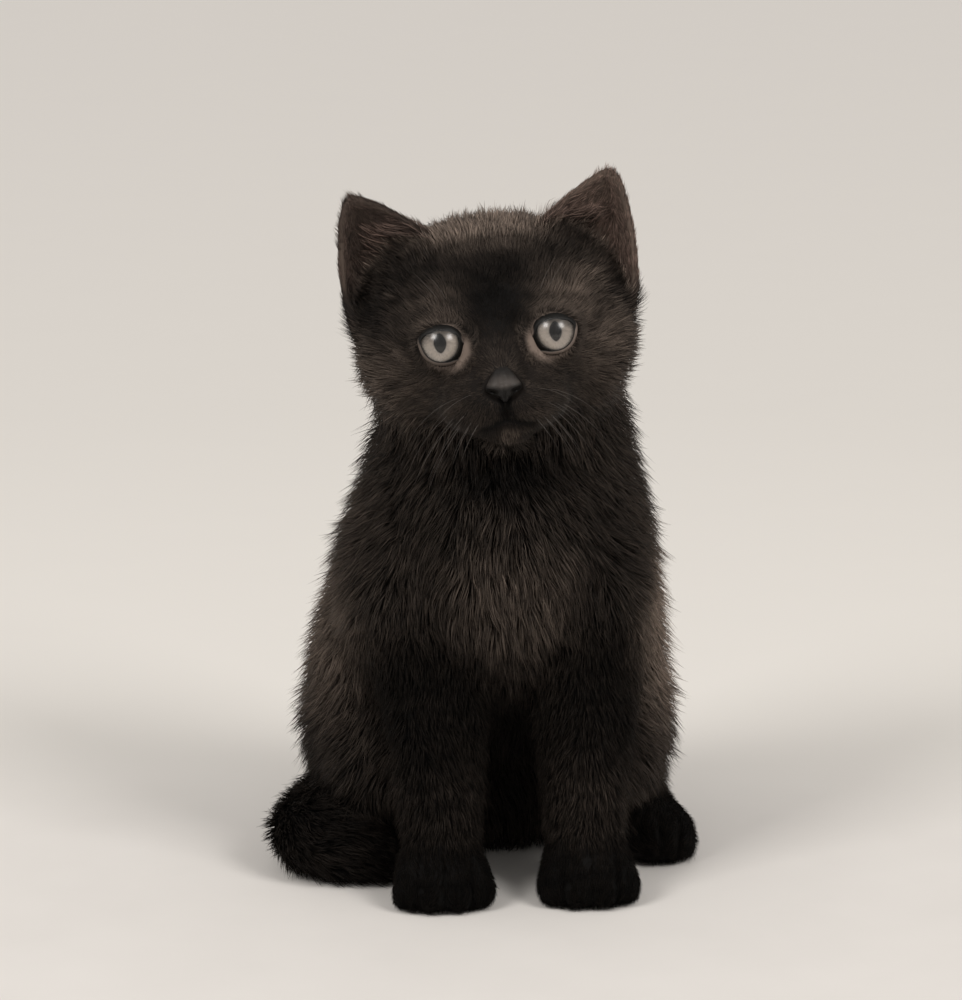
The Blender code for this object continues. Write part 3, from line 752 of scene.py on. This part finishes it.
def grown(name, finish, roots, stations, clump=0.45, untidy=0.18):
    """Hair from its roots: it lifts off the hide, bends over along the coat's lie, and leans to its clump.

    stations: points along a tuft. clump: how far its tip moves to its leader's. untidy: spread of its way."""
    number = roots.number
    _, length, lift, _, width = roots.coat.T
    lead = leaders(roots.at, CLUMP_SHARE)
    side_way = np.cross(roots.out, roots.lie)
    sway = (0.34 * drift(roots.at, 17.0, 3) + 0.22 * drift(roots.at, 6.0, 4)
            + untidy * chance.normal(size=number))
    lie = unit(roots.lie + side_way * sway[:, None])
    wild = chance.random(number) ** 3      # a few hairs in each place stand out from the rest
    length = length * (0.78 + 0.3 * chance.random(number) + 0.3 * wild)
    rise = np.radians(lift * (1.0 + 0.3 * drift(roots.at, 9.0, 5) + untidy * chance.normal(size=number)
                              + (0.5 if stations < 3 else 1.3) * wild))
    fall = rise * chance.uniform(0.15, 0.6, number)      # lift that is left at the tip
    path = [roots.at - roots.out * ROOT_DEPTH]
    for step in range(1, stations):
        t = (step - 0.5) / (stations - 1)
        bend = rise + (fall - rise) * t
        path.append(path[-1] + (lie * np.cos(bend)[:, None] + roots.out * np.sin(bend)[:, None])
                    * (length / (stations - 1))[:, None])
    path = np.stack(path, axis=1)
    pull = path[lead] - path
    share = (np.arange(stations) / (stations - 1)) ** 1.4
    reach = np.linalg.norm(pull[:, 0], axis=1)
    hold = clump * smooth(6.0, 2.0, reach)
    path += pull * (hold[:, None] * share)[:, :, None]
    path[:, :, 2] = np.maximum(path[:, :, 2], FLOOR_GAP)
    tones = 0.9 + 0.4 * drift(roots.at, 5.0, 6) + 0.35 * chance.normal(size=number)
    tones = roots.tone * np.clip(tones, 0.25, 2.2)
    tilt = unit(roots.out + side_way * (0.5 * chance.normal(size=number))[:, None])
    piece = spikes(name, finish, path, tilt, width * (0.8 + 0.4 * chance.random(number)), tones, roots.map)


# Bare places: the lids' rims, the nose, the lips and the soles. Near the lids the hair stands up more.
LIP_WIDTH, SOLE_HEIGHT = 1.35, 0.6
density = coat_at[:, 3].copy()
local = placed(HEAD.inverted(), hide)
bare = np.ones(count)
for side in EYES:
    past, angle, far = round_eye(hide, side)
    rim = 1.3 + 0.75 * smooth(0.0, 0.7, np.sin(angle)) - 0.3 * np.exp(-((angle + 2.6) / 0.5) ** 2)
    bare[past + 0.9 * np.maximum(far - EYE_RADIUS - 0.5, 0) < rim] = 0.0
    coat_at[:, 2] += 12.0 * smooth(7.0, 3.0, past) * smooth(EYE_RADIUS + 8.0, EYE_RADIUS + 4.0, far)
bare[within(local, (0, -17.0, -15.0), (5.6, 5.4, 3.9)) < 1.0] = 0.0
for line in (CLEFT, MOUTH[1][:3], MOUTH[-1][:3]):
    bare[lip_away(line) < LIP_WIDTH] = 0.0
bare[hide[:, 2] < SOLE_HEIGHT] = 0.0
on = {k: (kind == KINDS.index(k)) * bare for k in KINDS}
front = local[:, 1] < 6.0
above = local[:, 2] > 4.0

chest = hide[:, 1] < placed(TRUNK, [(0, 5, 0)])[0, 1]
upper = hide[:, 2] > 72.0

grown("coat_face", plush, Roots(on["head"] * front, density * 1.3), 2, clump=0.2, untidy=0.14)
grown("coat_crown", plush, Roots(on["head"] * ~front * above, density), 3, clump=0.35)
grown("coat_cheeks", plush, Roots(on["head"] * ~front * ~above, density), 3, clump=0.35)
grown("coat_ears", close_hair, Roots(on["ear"] * ~inner_ear, density), 2, clump=0.1, untidy=0.1)
grown("coat_neck", plush, Roots(on["neck"], density), 3)
grown("coat_chest", plush, Roots(on["trunk"] * chest, density * 1.35), 3)
grown("coat_back", plush, Roots(on["trunk"] * ~chest * upper, density), 3)
grown("coat_rump", plush, Roots(on["trunk"] * ~chest * ~upper, density), 3)
grown("coat_thighs", plush, Roots(on["thigh"], density), 3)
grown("coat_forelegs", close_hair, Roots(on["foreleg"], density), 3, clump=0.3)
grown("coat_feet", close_hair, Roots(on["forepaw"] + on["hindfoot"], density), 2, clump=0.15, untidy=0.12)
grown("coat_tail", close_hair, Roots(on["tail"], density), 3)

# The lining of each ear: sparse, fine brown hair, with long wisps that rise from its front edge.
lining = Roots(on["ear"] * inner_ear, density * 0.55)
lining.coat[:, 1] *= 1.3
lining.coat[:, 4] *= 0.7
# The lining carries the same painted shade deep in each cup, and a painted light in the left ear.
lining.tone = 0.15 + (0.6 + 0.9 * (placed(HEAD.inverted(), lining.at)[:, 0] > 0)) * ear_light(lining.at)
grown("ear_lining", ear_hair, lining, 3, clump=0.3, untidy=0.16)
wisps = Roots(on["ear"] * inner_ear, density * 0.16)
across = placed(HEAD.inverted(), wisps.at)
wisps.keep((across[:, 2] > 14.0) & (across[:, 2] < 34.0) & (np.abs(across[:, 0]) < 33.0))
side_out = np.sign(placed(HEAD.inverted(), wisps.at)[:, :1])
wisps.lie = unit(turned(HEAD, side_out * (0.95, 0, 0) + (0, -0.1, 0.55)))
wisps.coat[:, [1, 2, 4]] = 8.0, 24.0, 0.24
wisps.tone[:] = 1.5
grown("ear_wisps", ear_hair, wisps, 4, clump=0.6, untidy=0.2)

# ------------------------------------------------------------
# Eyelids. A bare, wet, black margin runs round each opening; outside it the lid is thin taupe skin
# that slides over the ball, with a low fold above. Over the upper lid the black margin widens into a
# painted shade of the fold that covers the whole lid.

# Across a lid from under its edge to the brow: distance past the edge, height over the ball below the
# eye and above it, and back again underneath.
LID_SECTION = ((0.9, -0.30, -0.30), (0.3, -0.15, -0.15), (0.0, 0.05, 0.05), (0.03, 0.22, 0.20),
               (0.16, 0.36, 0.34), (0.45, 0.44, 0.44), (0.9, 0.46, 0.46), (1.5, 0.42, 0.40),
               (2.2, 0.25, 0.22), (3.0, -0.10, -0.10), (3.6, -0.50, -0.50), (2.4, -0.60, -0.60),
               (1.6, -0.60, -0.60))
LID_WIDTHS = (0.62, 1.0)       # share of that width below the eye and above it
# Above the eye the black spreads over the whole lid as a painted shade of the fold.
MARGINS_AND_FOLD_SHADE = (0.2, 5.0)           # mm of black below the eye, and above it, where the whole lid is dark
LID_TONE = {"left": 0.9, "right": 0.6}    # the right eye lies deeper in shade
LID_ROUND = 160                # points round each eye
INNER_CORNER = 203             # degrees round from the temple, where the black edge is wider


def closed_mesh(name, points, faces):
    """A smooth mesh from points in mm, with its faces turned outward."""
    mesh = bpy.data.meshes.new(name)
    mesh.from_pydata((np.array(points) * MM).tolist(), [], faces)
    bm = bmesh.new()
    bm.from_mesh(mesh)
    bmesh.ops.recalc_face_normals(bm, faces=bm.faces)
    bm.to_mesh(mesh)
    bm.free()
    mesh.shade_smooth()
    return mesh


def ring_faces(steps, across):
    """Quads through rings of equally many points, round both ways."""
    a = np.arange(steps * across).reshape(steps, across)
    b = np.roll(a, -1, axis=0)
    return np.stack([a, np.roll(a, -1, axis=1), np.roll(b, -1, axis=1), b], axis=2).reshape(-1, 4).tolist()


def on_ball(side, angle, past, height):
    """A point past the lids' edge at an angle round the eye, and at a height over the ball."""
    swing = np.arcsin(lid_edge(angle) / EYE_RADIUS) + past / EYE_RADIUS
    x = np.sin(swing) * np.cos(angle) * (1 if side == "left" else -1)
    way = np.stack([x, -np.cos(swing), np.sin(swing) * np.sin(angle)], -1)
    return placed(EYES[side], way * (EYE_RADIUS + height)[..., None])


def lid_material():
    return material("eyelid", {"Specular IOR Level": 0.2}, "margin fair", {
        "noise": ("TexNoise", {"Scale": 900.0}), "level": ("VectorMath", {"operation": "SCALE"}),
        "bare": ("MixRGB", {"Color1": (0.125, 0.098, 0.082), "Color2": (0.205, 0.163, 0.138)}),
        # The margin's black, and over the upper lid a painted shade of the fold.
        "wet": ("MixRGB", {"Color2": (0.004, 0.0035, 0.003)}),
        "rough": ("MapRange", {"To Min": 0.7, "To Max": 0.5}),
        "bump": ("Bump", {"Strength": 0.7, "Distance": 0.25 * MM}),
    }, """place.Object > noise.Vector, noise.Fac > bare.Fac, bare > level, fair.Fac > level.Scale,
        level > wet.Color1, margin.Fac > wet.Fac, wet > shader.Base Color, margin.Fac > rough,
        rough > shader.Roughness, noise.Fac > bump.Height, bump > shader.Normal""")


lid_skin = lid_material()
past, low, high = np.array(LID_SECTION).T
angle = np.arange(LID_ROUND) * 2 * math.pi / LID_ROUND
above = smooth(-0.1, 0.8, np.sin(angle))[:, None]
past = past * (LID_WIDTHS[0] + (LID_WIDTHS[1] - LID_WIDTHS[0]) * above)
corner_wedge = np.exp(-(((np.degrees(angle) - INNER_CORNER) / 16) ** 2))[:, None]
reach = MARGINS_AND_FOLD_SHADE[0] + (MARGINS_AND_FOLD_SHADE[1] - MARGINS_AND_FOLD_SHADE[0]) * above + 0.9 * corner_wedge
margin = smooth(reach + 0.2, reach - 0.15, np.abs(np.array(LID_SECTION)[:, 0]))
for side in EYES:
    rings = on_ball(side, angle[:, None], past, low * (1 - above) + high * above)
    mesh = closed_mesh("eyelids_" + side, rings.reshape(-1, 3), ring_faces(*past.shape))
    painted(mesh, "margin", margin)
    # A painted shade over the whole lid, deeper on the right eye.
    painted(mesh, "fair", np.full(margin.size, LID_TONE[side]))
    mesh.materials.append(lid_skin)
    lids = object_of("eyelids_" + side, mesh)
    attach(lids, "root")

# ------------------------------------------------------------
# Eyes. Each is a whole ball with a dark rim, a pale taupe iris that dishes in to an upright pupil,
# and a clear cornea that bulges over it and carries the tears' gloss.

IRIS_RADIUS, CORNEA_RADIUS = 5.65, 7.3
PUPIL = (1.85, 2.95)       # half width and half height
OUTWARD_GAZE, UPWARD_GAZE = 9.0, -1.0
INWARD_SET = 0.4           # mm that each ball stands towards the nose from its socket's middle
LIMBUS = IRIS_RADIUS + 0.4
PUPIL_POWER = 1.7          # 2 is an ellipse, and 1 a diamond
EYE_STEPS, BALL_ROWS, IRIS_ROWS, DOME_ROWS = 96, 18, 12, 14
# The iris's lightness from its inner edge to its outer one.
IRIS_STOPS = ((0.0, 0.35), (0.12, 0.85), (0.45, 1.0), (0.74, 0.88), (0.9, 0.42), (1.0, 0.06))


def polar_faces(rows, steps):
    """Faces of a closed round mesh: its points are a pole, rows round it, and the other pole."""
    faces, last = [], 1 + rows * steps
    for k in range(steps):
        n = (k + 1) % steps
        faces.append((0, 1 + k, 1 + n))
        faces += [(a + k, a + steps + k, a + steps + n, a + n) for a in range(1, last - steps, steps)]
        faces.append((last - steps + n, last - steps + k, last))
    return faces


def round_mesh(name, matrix, rows):
    """A closed round mesh about its Y axis: rows of (radius as a value or one for each step, depth)."""
    points = [(0.0, rows[0][1], 0.0)]
    for radius, depth in rows[1:-1]:
        r = np.broadcast_to(radius, EYE_STEPS)
        points += np.stack([r * np.cos(around), np.full(EYE_STEPS, depth), r * np.sin(around)], 1).tolist()
    points.append((0.0, rows[-1][1], 0.0))
    return closed_mesh(name, placed(matrix, points), polar_faces(len(rows) - 2, EYE_STEPS))


def iris_material():
    """Radial fibres, shaded from the pupil's rim out to the iris's dark edge, with a painted shade under the
    upper lid.
    """
    made = material("iris", {"Roughness": 0.55, "Specular IOR Level": 0.3}, "round reach lit", {
        "fibre": ("TexNoise", {"Scale": 9.0, "Detail": 5.0}),
        "tone": ("MixRGB", {"Color1": (0.10, 0.083, 0.068), "Color2": (0.40, 0.345, 0.29)}),
        "ramp": ("ValToRGB", {"name": "ramp"}), "shade": ("MixRGB", {"blend_type": "MULTIPLY", "Fac": 1.0}),
        "under_lid": ("VectorMath", {"operation": "SCALE"}),
        "bump": ("Bump", {"Strength": 0.5, "Distance": 0.2 * MM}),
    }, """round.Vector > fibre.Vector, fibre.Fac > tone.Fac, reach.Fac > ramp, tone > shade.Color1,
        ramp > shade.Color2, shade > under_lid, lit.Fac > under_lid.Scale, under_lid > shader.Base Color,
        fibre.Fac > bump.Height, bump > shader.Normal""")
    stops = made.node_tree.nodes["ramp"].color_ramp.elements
    while len(stops) < len(IRIS_STOPS):
        stops.new(0.5)
    for stop, (at, value) in zip(stops, IRIS_STOPS):
        stop.position, stop.color = at, (value, value, value, 1)
    return made


def cornea_material():
    """Clear tissue with tears on it: it shows what is behind, and mirrors more towards its edge."""
    made = bpy.data.materials.new("cornea")
    made.use_nodes = True
    made.node_tree.nodes.clear()
    wired(made.node_tree, {
        "clear": ("BsdfTransparent",), "gloss": ("BsdfGlossy", {"Roughness": 0.24}), "mix": ("MixShader",),
        "end": ("OutputMaterial",), "fresnel": ("Fresnel", {"IOR": 1.68}), "inside": ("NewGeometry",),
        "outer": ("Math", {"operation": "SUBTRACT", 0: 1.0}), "share": ("Math", {"operation": "MULTIPLY"}),
    }, """inside.Backfacing > outer.1, fresnel > share.0, outer > share.1, share > mix.0, clear > mix.1,
        gloss > mix.2, mix > end.Surface""")
    return made


eye_finishes = (
    material("eye rim", {"Base Color": (0.004, 0.0035, 0.003, 1), "Specular IOR Level": 0.1}, "", {
        "noise": ("TexNoise", {"Scale": 700.0}), "rough": ("MapRange", {"To Min": 0.35, "To Max": 0.6}),
    }, "place.Object > noise.Vector, noise.Fac > rough, rough > shader.Roughness"),
    iris_material(),
    material("pupil", {"Base Color": (0.0015, 0.0012, 0.001, 1), "Roughness": 0.9,
                       "Specular IOR Level": 0.0}))
cornea_finish = cornea_material()
around = np.arange(EYE_STEPS) * 2 * math.pi / EYE_STEPS
pupil = sum(np.abs(way(around) / half) ** PUPIL_POWER for way, half in zip((np.cos, np.sin), PUPIL))
pupil **= -1 / PUPIL_POWER
for side in EYES:
    out = 1 if side == "left" else -1
    look = (EYES[side] @ Matrix.Translation((-out * INWARD_SET, 0, 0)) @ turn(z=out * OUTWARD_GAZE)
            @ turn(x=-UPWARD_GAZE))
    ball_angles = np.linspace(math.pi, math.asin(LIMBUS / EYE_RADIUS), BALL_ROWS)
    rows = [(EYE_RADIUS * math.sin(a), -EYE_RADIUS * math.cos(a)) for a in ball_angles]
    flat = rows[-1][1]
    rows.append((IRIS_RADIUS + 0.12, flat + 0.02))
    rows += [(pupil + (IRIS_RADIUS - pupil) * s, flat + 0.15 + 0.55 * (1 - s))
             for s in np.linspace(1.0, 0.0, IRIS_ROWS)]
    rows += [(pupil * 0.97, flat + 0.85), (pupil * 0.8, flat + 1.3), (0.0, flat + 1.4)]
    mesh = round_mesh("eyeball_" + side, look, rows)
    for finish in eye_finishes:
        mesh.materials.append(finish)
    local = placed(look.inverted(), read(mesh.vertices, "co", 3) / MM)
    inner = np.interp(np.arctan2(local[:, 2], local[:, 0]), around, pupil, period=2 * math.pi)
    reach = (np.hypot(local[:, 0], local[:, 2]) - inner) / (IRIS_RADIUS - inner)
    ahead = local[:, 1] < -EYE_RADIUS * 0.3
    round_way = np.stack([*(unit(local[:, [0, 2]]) * 1.6).T, reach * 0.35], 1)
    # A painted shade under the upper lid: the iris darkens towards its top.
    painted(mesh, "lit", 1 - 0.45 * smooth(0.5, 4.6, local[:, 2]))
    painted(mesh, "reach", reach)
    painted(mesh, "round", round_way)
    for face in mesh.polygons:
        at = list(face.vertices)
        if ahead[at].all() and reach[at].max() < 1.03:
            face.material_index = 1 if reach[at].mean() > -0.005 else 2
    eyeball = object_of("eyeball_" + side, mesh)
    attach(eyeball, "root")
    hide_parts("eye_" + side)

    base = math.sqrt(CORNEA_RADIUS**2 - LIMBUS**2)
    dome = [(CORNEA_RADIUS * math.sin(a), flat - (CORNEA_RADIUS * math.cos(a) - base))
            for a in np.linspace(0, math.asin(LIMBUS / CORNEA_RADIUS), DOME_ROWS)]
    lining = [(r * 0.97, d + 0.12 + 0.25 * (1 - i / (DOME_ROWS - 1))) for i, (r, d) in enumerate(dome)][::-1]
    mesh = round_mesh("cornea_" + side, look, dome + lining)
    mesh.materials.append(cornea_finish)
    cornea = object_of("cornea_" + side, mesh)
    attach(cornea, "root")

# ------------------------------------------------------------
# Nose leather. A bare, pebbled pad of charcoal skin: broad and flat on top, drawn in below to the cleft
# of the lip, with a comma-shaped nostril cut into each side.

# Down the nose's face: share of the way, height, half width, and how far its front stands out.
NOSE_FACE = ((0.0, 5.6, 0.0, 0.4), (0.05, 5.4, 1.4, 0.9), (0.14, 4.5, 2.5, 1.9), (0.3, 2.7, 3.6, 3.3),
             (0.42, 1.2, 4.5, 4.3), (0.5, 0.3, 5.1, 4.7), (0.57, -0.5, 5.5, 4.75), (0.64, -1.3, 5.4, 4.5),
             (0.71, -2.1, 4.6, 4.0), (0.78, -2.9, 3.0, 3.5), (0.86, -3.6, 1.7, 2.9), (0.94, -4.5, 1.0, 2.4),
             (0.98, -5.0, 0.6, 1.9), (1.0, -5.1, 0.0, 1.5))
NOSE_BACK = 3.0
NOSE_FINE = (128, 72)      # points round and down
NOSTRIL_SQUAT = 0.75       # their height as a share of their width
NOSTRILS = (((3.1, -2.0), 1.0, 1.7), ((4.0, -1.7), 0.9, 1.4), ((4.8, -1.1), 0.65, 0.8),
            ((5.2, -0.4), 0.5, 0.4))


def nose_form():
    around, rows = NOSE_FINE
    down = np.concatenate([[0.0], np.repeat(np.arange(1, rows) / rows, around), [1.0]])
    spin = np.concatenate([[0.0], np.tile(np.arange(around) * 2 * math.pi / around, rows - 1), [0.0]])
    ahead = -np.sin(spin)
    share, height, half, stand = np.array(NOSE_FACE).T
    front = np.interp(down, share, stand) * np.abs(ahead) ** 0.55
    p = np.stack([np.interp(down, share, half) * np.cos(spin),
                  np.where(ahead > 0, -front, NOSE_BACK * np.abs(ahead)), np.interp(down, share, height)], 1)
    facing = ahead > 0.05
    groove = 0.5 * np.exp(-(p[:, 0] / 1.1) ** 2) * smooth(-0.5, 1.0, p[:, 2]) * smooth(4.5, 2.5, p[:, 2])
    p[:, 1] += groove * facing
    p[:, 1] += 0.6 * np.exp(-(p[:, 0] / 0.4) ** 2) * smooth(0.8, -1.2, p[:, 2]) * facing
    for (x, z), width, depth in NOSTRILS:
        for s in (1, -1):
            off = ((p[:, 0] - s * x) / width) ** 2 + ((p[:, 2] - z) / (width * NOSTRIL_SQUAT)) ** 2
            p[:, 1] += depth * np.exp(-off) * facing
    return p


def nose_material():
    return material("nose leather", {"Specular IOR Level": 0.2}, "depth", {
        "pebble": ("TexVoronoi", {"Scale": 2300.0, "feature": "SMOOTH_F1"}),
        "fine": ("TexNoise", {"Scale": 500.0, "Detail": 4.0}),
        "tone": ("MixRGB", {"Color1": (0.034, 0.029, 0.026), "Color2": (0.066, 0.057, 0.051)}),
        # The leather's own tone, then darkened by the painted shade.
        "dark": ("MixRGB", {"Color2": (0.002, 0.0017, 0.0015)}),
        "rough": ("MapRange", {"To Min": 0.36, "To Max": 0.58}),
        "bump": ("Bump", {"Strength": 0.55, "Distance": 0.16 * MM}),
    }, """place.Object > pebble.Vector, place.Object > fine.Vector, fine.Fac > tone.Fac, tone > dark.Color1,
        depth.Fac > dark.Fac, dark > shader.Base Color, fine.Fac > rough, rough > shader.Roughness,
        pebble.Distance > bump.Height, bump > shader.Normal""")


form = nose_form()
mesh = closed_mesh("nose_leather", placed(HEAD @ Matrix.Translation(NOSE_AT), form),
                   polar_faces(NOSE_FINE[1] - 1, NOSE_FINE[0]))

# How dark each place is, as painted shade: in the nostrils' pits, over the front below the nose's edge, and
# towards the bridge.
pit = np.max([np.exp(-(((form[:, 0] - s * x) / width) ** 2 + ((form[:, 2] - z) / width / NOSTRIL_SQUAT) ** 2))
              for (x, z), width, _ in NOSTRILS[:3] for s in (1, -1)], axis=0)
pit = smooth(0.4, 0.8, pit) * (form[:, 1] < 1.0)
below = smooth(0.6, -1.3, form[:, 2] + 0.5 * np.exp(-(form[:, 0] / 1.4) ** 2) - 0.03 * form[:, 0] ** 2)
bridge = smooth(0.9, 4.2, form[:, 2] + 0.05 * form[:, 0] ** 2)
painted(mesh, "depth", np.max([pit, 0.92 * below, 0.85 * bridge], axis=0))
mesh.materials.append(nose_material())
nose = object_of("nose_leather", mesh)
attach(nose, "root")
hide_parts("nose")

# ------------------------------------------------------------
# Whiskers. Stiff tapering hairs set in four rows on each lip pad, with a few over each eye. Each is a
# line of points that Geometry Nodes turn into a tapering wire.

WHISKER_POINTS, WHISKER_SIDES = 14, 5
ROOT_RADIUS, TIP_RADIUS = 0.07, 0.015
WHISKER_ROWS = ((-15.5, 2), (-18.0, 3), (-20.5, 3), (-23.0, 3))     # height on the lip pad, and hairs
BROW_HAIRS = 2
WHISKER_SEED = 7


def wire_tree():
    tree = grouped("tapering wire", "GeometryNodeTree", (
        ("Geometry", "Geometry"), ("Root radius", "Float"), ("Tip radius", "Float"), ("Sides", "Int"),
        ("Finish", "Material")), "Geometry")
    wired(tree, {
        "start": ("NodeGroupInput",), "end": ("NodeGroupOutput",), "curve": ("GeometryNodeMeshToCurve",),
        "along": ("GeometryNodeSplineParameter",), "taper": ("MapRange",),
        "circle": ("GeometryNodeCurvePrimitiveCircle", {"Radius": 1.0}),
        "sweep": ("GeometryNodeCurveToMesh", {"Fill Caps": True}), "real": ("GeometryNodeRealizeInstances",),
        "paint": ("GeometryNodeSetMaterial",),
    }, """start.Geometry > curve, along.Factor > taper, start.Root radius > taper.To Min,
        start.Tip radius > taper.To Max, curve > sweep.Curve, taper > sweep.Scale,
        start.Sides > circle.Resolution, circle.Curve > sweep.Profile Curve, sweep > real,
        real > paint.Geometry, start.Finish > paint.Material, paint > end""")
    return tree


def wires(name, paths, finish):
    """One mesh of tapering wires along paths of points, in mm."""
    mesh = bpy.data.meshes.new(name)
    ends = np.arange(len(paths) * WHISKER_POINTS).reshape(len(paths), WHISKER_POINTS)
    segments = np.stack([ends[:, :-1], ends[:, 1:]], -1).reshape(-1, 2)
    mesh.from_pydata((np.concatenate(paths) * MM).tolist(), segments.tolist(), [])
    line = object_of(name, mesh)
    maker = line.modifiers.new("wire", "NODES")
    maker.node_group = wire_tree()
    sockets = {s.name: s.identifier for s in maker.node_group.interface.items_tree if s.in_out == "INPUT"}
    for title, value in (("Root radius", ROOT_RADIUS * MM), ("Tip radius", TIP_RADIUS * MM),
                         ("Sides", WHISKER_SIDES), ("Finish", finish)):
        maker[sockets[title]] = value
    mesh = evaluated_mesh(line)
    mesh.shade_smooth()
    return object_of(name, mesh)


whisker_finish = material("whisker", {"Specular IOR Level": 0.5}, "", {
    "band": ("TexNoise", {"Scale": 60.0}), "rough": ("MapRange", {"To Min": 0.3, "To Max": 0.5}),
    "tone": ("MixRGB", {"Color1": (0.02, 0.016, 0.013), "Color2": (0.12, 0.10, 0.088)}),
}, """place.Object > band.Vector, band.Fac > tone.Fac, tone > shader.Base Color, band.Fac > rough,
    rough > shader.Roughness""")


def bent_hair(root, way, droop, length):
    """A hair that leaves along way and bends towards droop, in the head's frame."""
    t = np.linspace(0, 1, WHISKER_POINTS)[:, None]
    way, droop = unit(np.array(way, float)), unit(np.array(droop, float))
    return np.array(root) + length * (way * t + (droop - way) * 0.5 * t**2)


whisker_paths = []
luck = np.random.default_rng(WHISKER_SEED)
for s in (1, -1):
    for row, (height, number) in enumerate(WHISKER_ROWS):
        for k in range(number):
            root = (s * (7.0 + 2.7 * k), -15.5 + 2.0 * k, height - 0.4 * k)
            way = (s * 1.0, -0.3 + 0.12 * k + 0.12 * luck.normal(), -0.1 - 0.34 * row + 0.1 * luck.normal())
            droop = (s * 0.5, 0.25, -0.75 - 0.16 * row)
            length = (20 + 4 * k) * luck.uniform(0.75, 1.15) * (1.0 if row < 3 else 0.75)
            whisker_paths.append(placed(HEAD, bent_hair(root, way, droop, length)))
    for k in range(BROW_HAIRS):
        root = (s * (14.0 + 2.6 * k), -2.5 + 0.6 * k, 12.0 + 0.6 * k)
        way, droop = (s * (0.3 + 0.2 * k), -0.45, 0.8), (s * 0.6, 0.3, 0.7)
        whisker_paths.append(placed(HEAD, bent_hair(root, way, droop, luck.uniform(9, 13))))
whiskers = wires("whiskers", whisker_paths, whisker_finish)
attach(whiskers, "root")

# ------------------------------------------------------------
# Room. A plain pale floor with a slightly deeper round of felt under the kitten, two soft boxes high to
# each side of the camera, and even pale light all round.


def floor_material():
    """Felt within an arm's length, and beyond it a plain floor painted lighter with distance, a painted light
    that makes up for the lamps' falloff.
    """
    return material("floor", {"Specular IOR Level": 0.2}, "", {
        "noise": ("TexNoise", {"Scale": 22.0, "Detail": 6.0}),
        "felt": ("MixRGB", {"Color1": (0.71, 0.685, 0.655), "Color2": (0.77, 0.745, 0.715)}),
        "away": ("VectorMath", {"operation": "DISTANCE", 1: (0.0, -0.32, 0.0)}),
        "edge": ("MapRange", {"interpolation_type": "SMOOTHSTEP", "From Min": 0.34, "From Max": 0.48}),
        # Painted light: the far floor is made lighter with distance.
        "far": ("MapRange", {"From Min": 0.9, "From Max": 2.1}),
        "beyond": ("MixRGB", {"Color1": (0.80, 0.775, 0.735), "Color2": (0.97, 0.94, 0.90)}),
        "tone": ("MixRGB",), "rough": ("MapRange", {"To Min": 0.85, "To Max": 1.0}),
        "bump": ("Bump", {"Strength": 0.25, "Distance": 1.5 * MM}),
    }, """place.Object > noise.Vector, noise.Fac > felt.Fac, place.Object > away.0, away.Value > edge,
        edge > tone.Fac, felt > tone.Color1, away.Value > far, far > beyond.Fac, beyond > tone.Color2,
        tone > shader.Base Color, noise.Fac > rough, rough > shader.Roughness, noise.Fac > bump.Height,
        bump > shader.Normal""")


bpy.ops.mesh.primitive_circle_add(vertices=128, radius=8.0, fill_type="NGON", location=(0, 0, 0))
floor = bpy.context.object
floor.name = "floor"
floor.data.materials.append(floor_material())

world = bpy.data.worlds.new("studio")
bpy.context.scene.world = world
world.use_nodes = True
sky = world.node_tree.nodes["Background"].inputs
sky["Color"].default_value, sky["Strength"].default_value = (0.83, 0.80, 0.77, 1), 0.6

TARGET = (HEAD.translation + Vector((-4.8, 30.0, -59.1))) * MM


def aimed(name, data, azimuth, elevation, distance):
    """An object that looks at the target from a distance, with azimuth 0 in front."""
    made = object_of(name, data)
    a, e = math.radians(azimuth), math.radians(elevation)
    back = Vector((math.sin(a) * math.cos(e), -math.cos(a) * math.cos(e), math.sin(e)))
    made.location = TARGET + back * distance
    made.rotation_mode = "QUATERNION"
    made.rotation_quaternion = back.to_track_quat("Z", "Y")
    return made


for name, azimuth in (("soft_box_left", -47), ("soft_box_right", 47)):
    lamp = bpy.data.lights.new(name, "AREA")
    lamp.shape, lamp.size, lamp.energy, lamp.color = "SQUARE", 0.95, 31.0, (1.0, 0.97, 0.94)
    aimed(name, lamp, azimuth, 39, 2.6)

camera = bpy.data.cameras.new("camera")
camera.sensor_width, camera.lens = 36.0, 175.5
bpy.context.scene.camera = aimed("camera", camera, 0, 15, 1.5)
bpy.context.scene.view_settings.view_transform = "Standard"
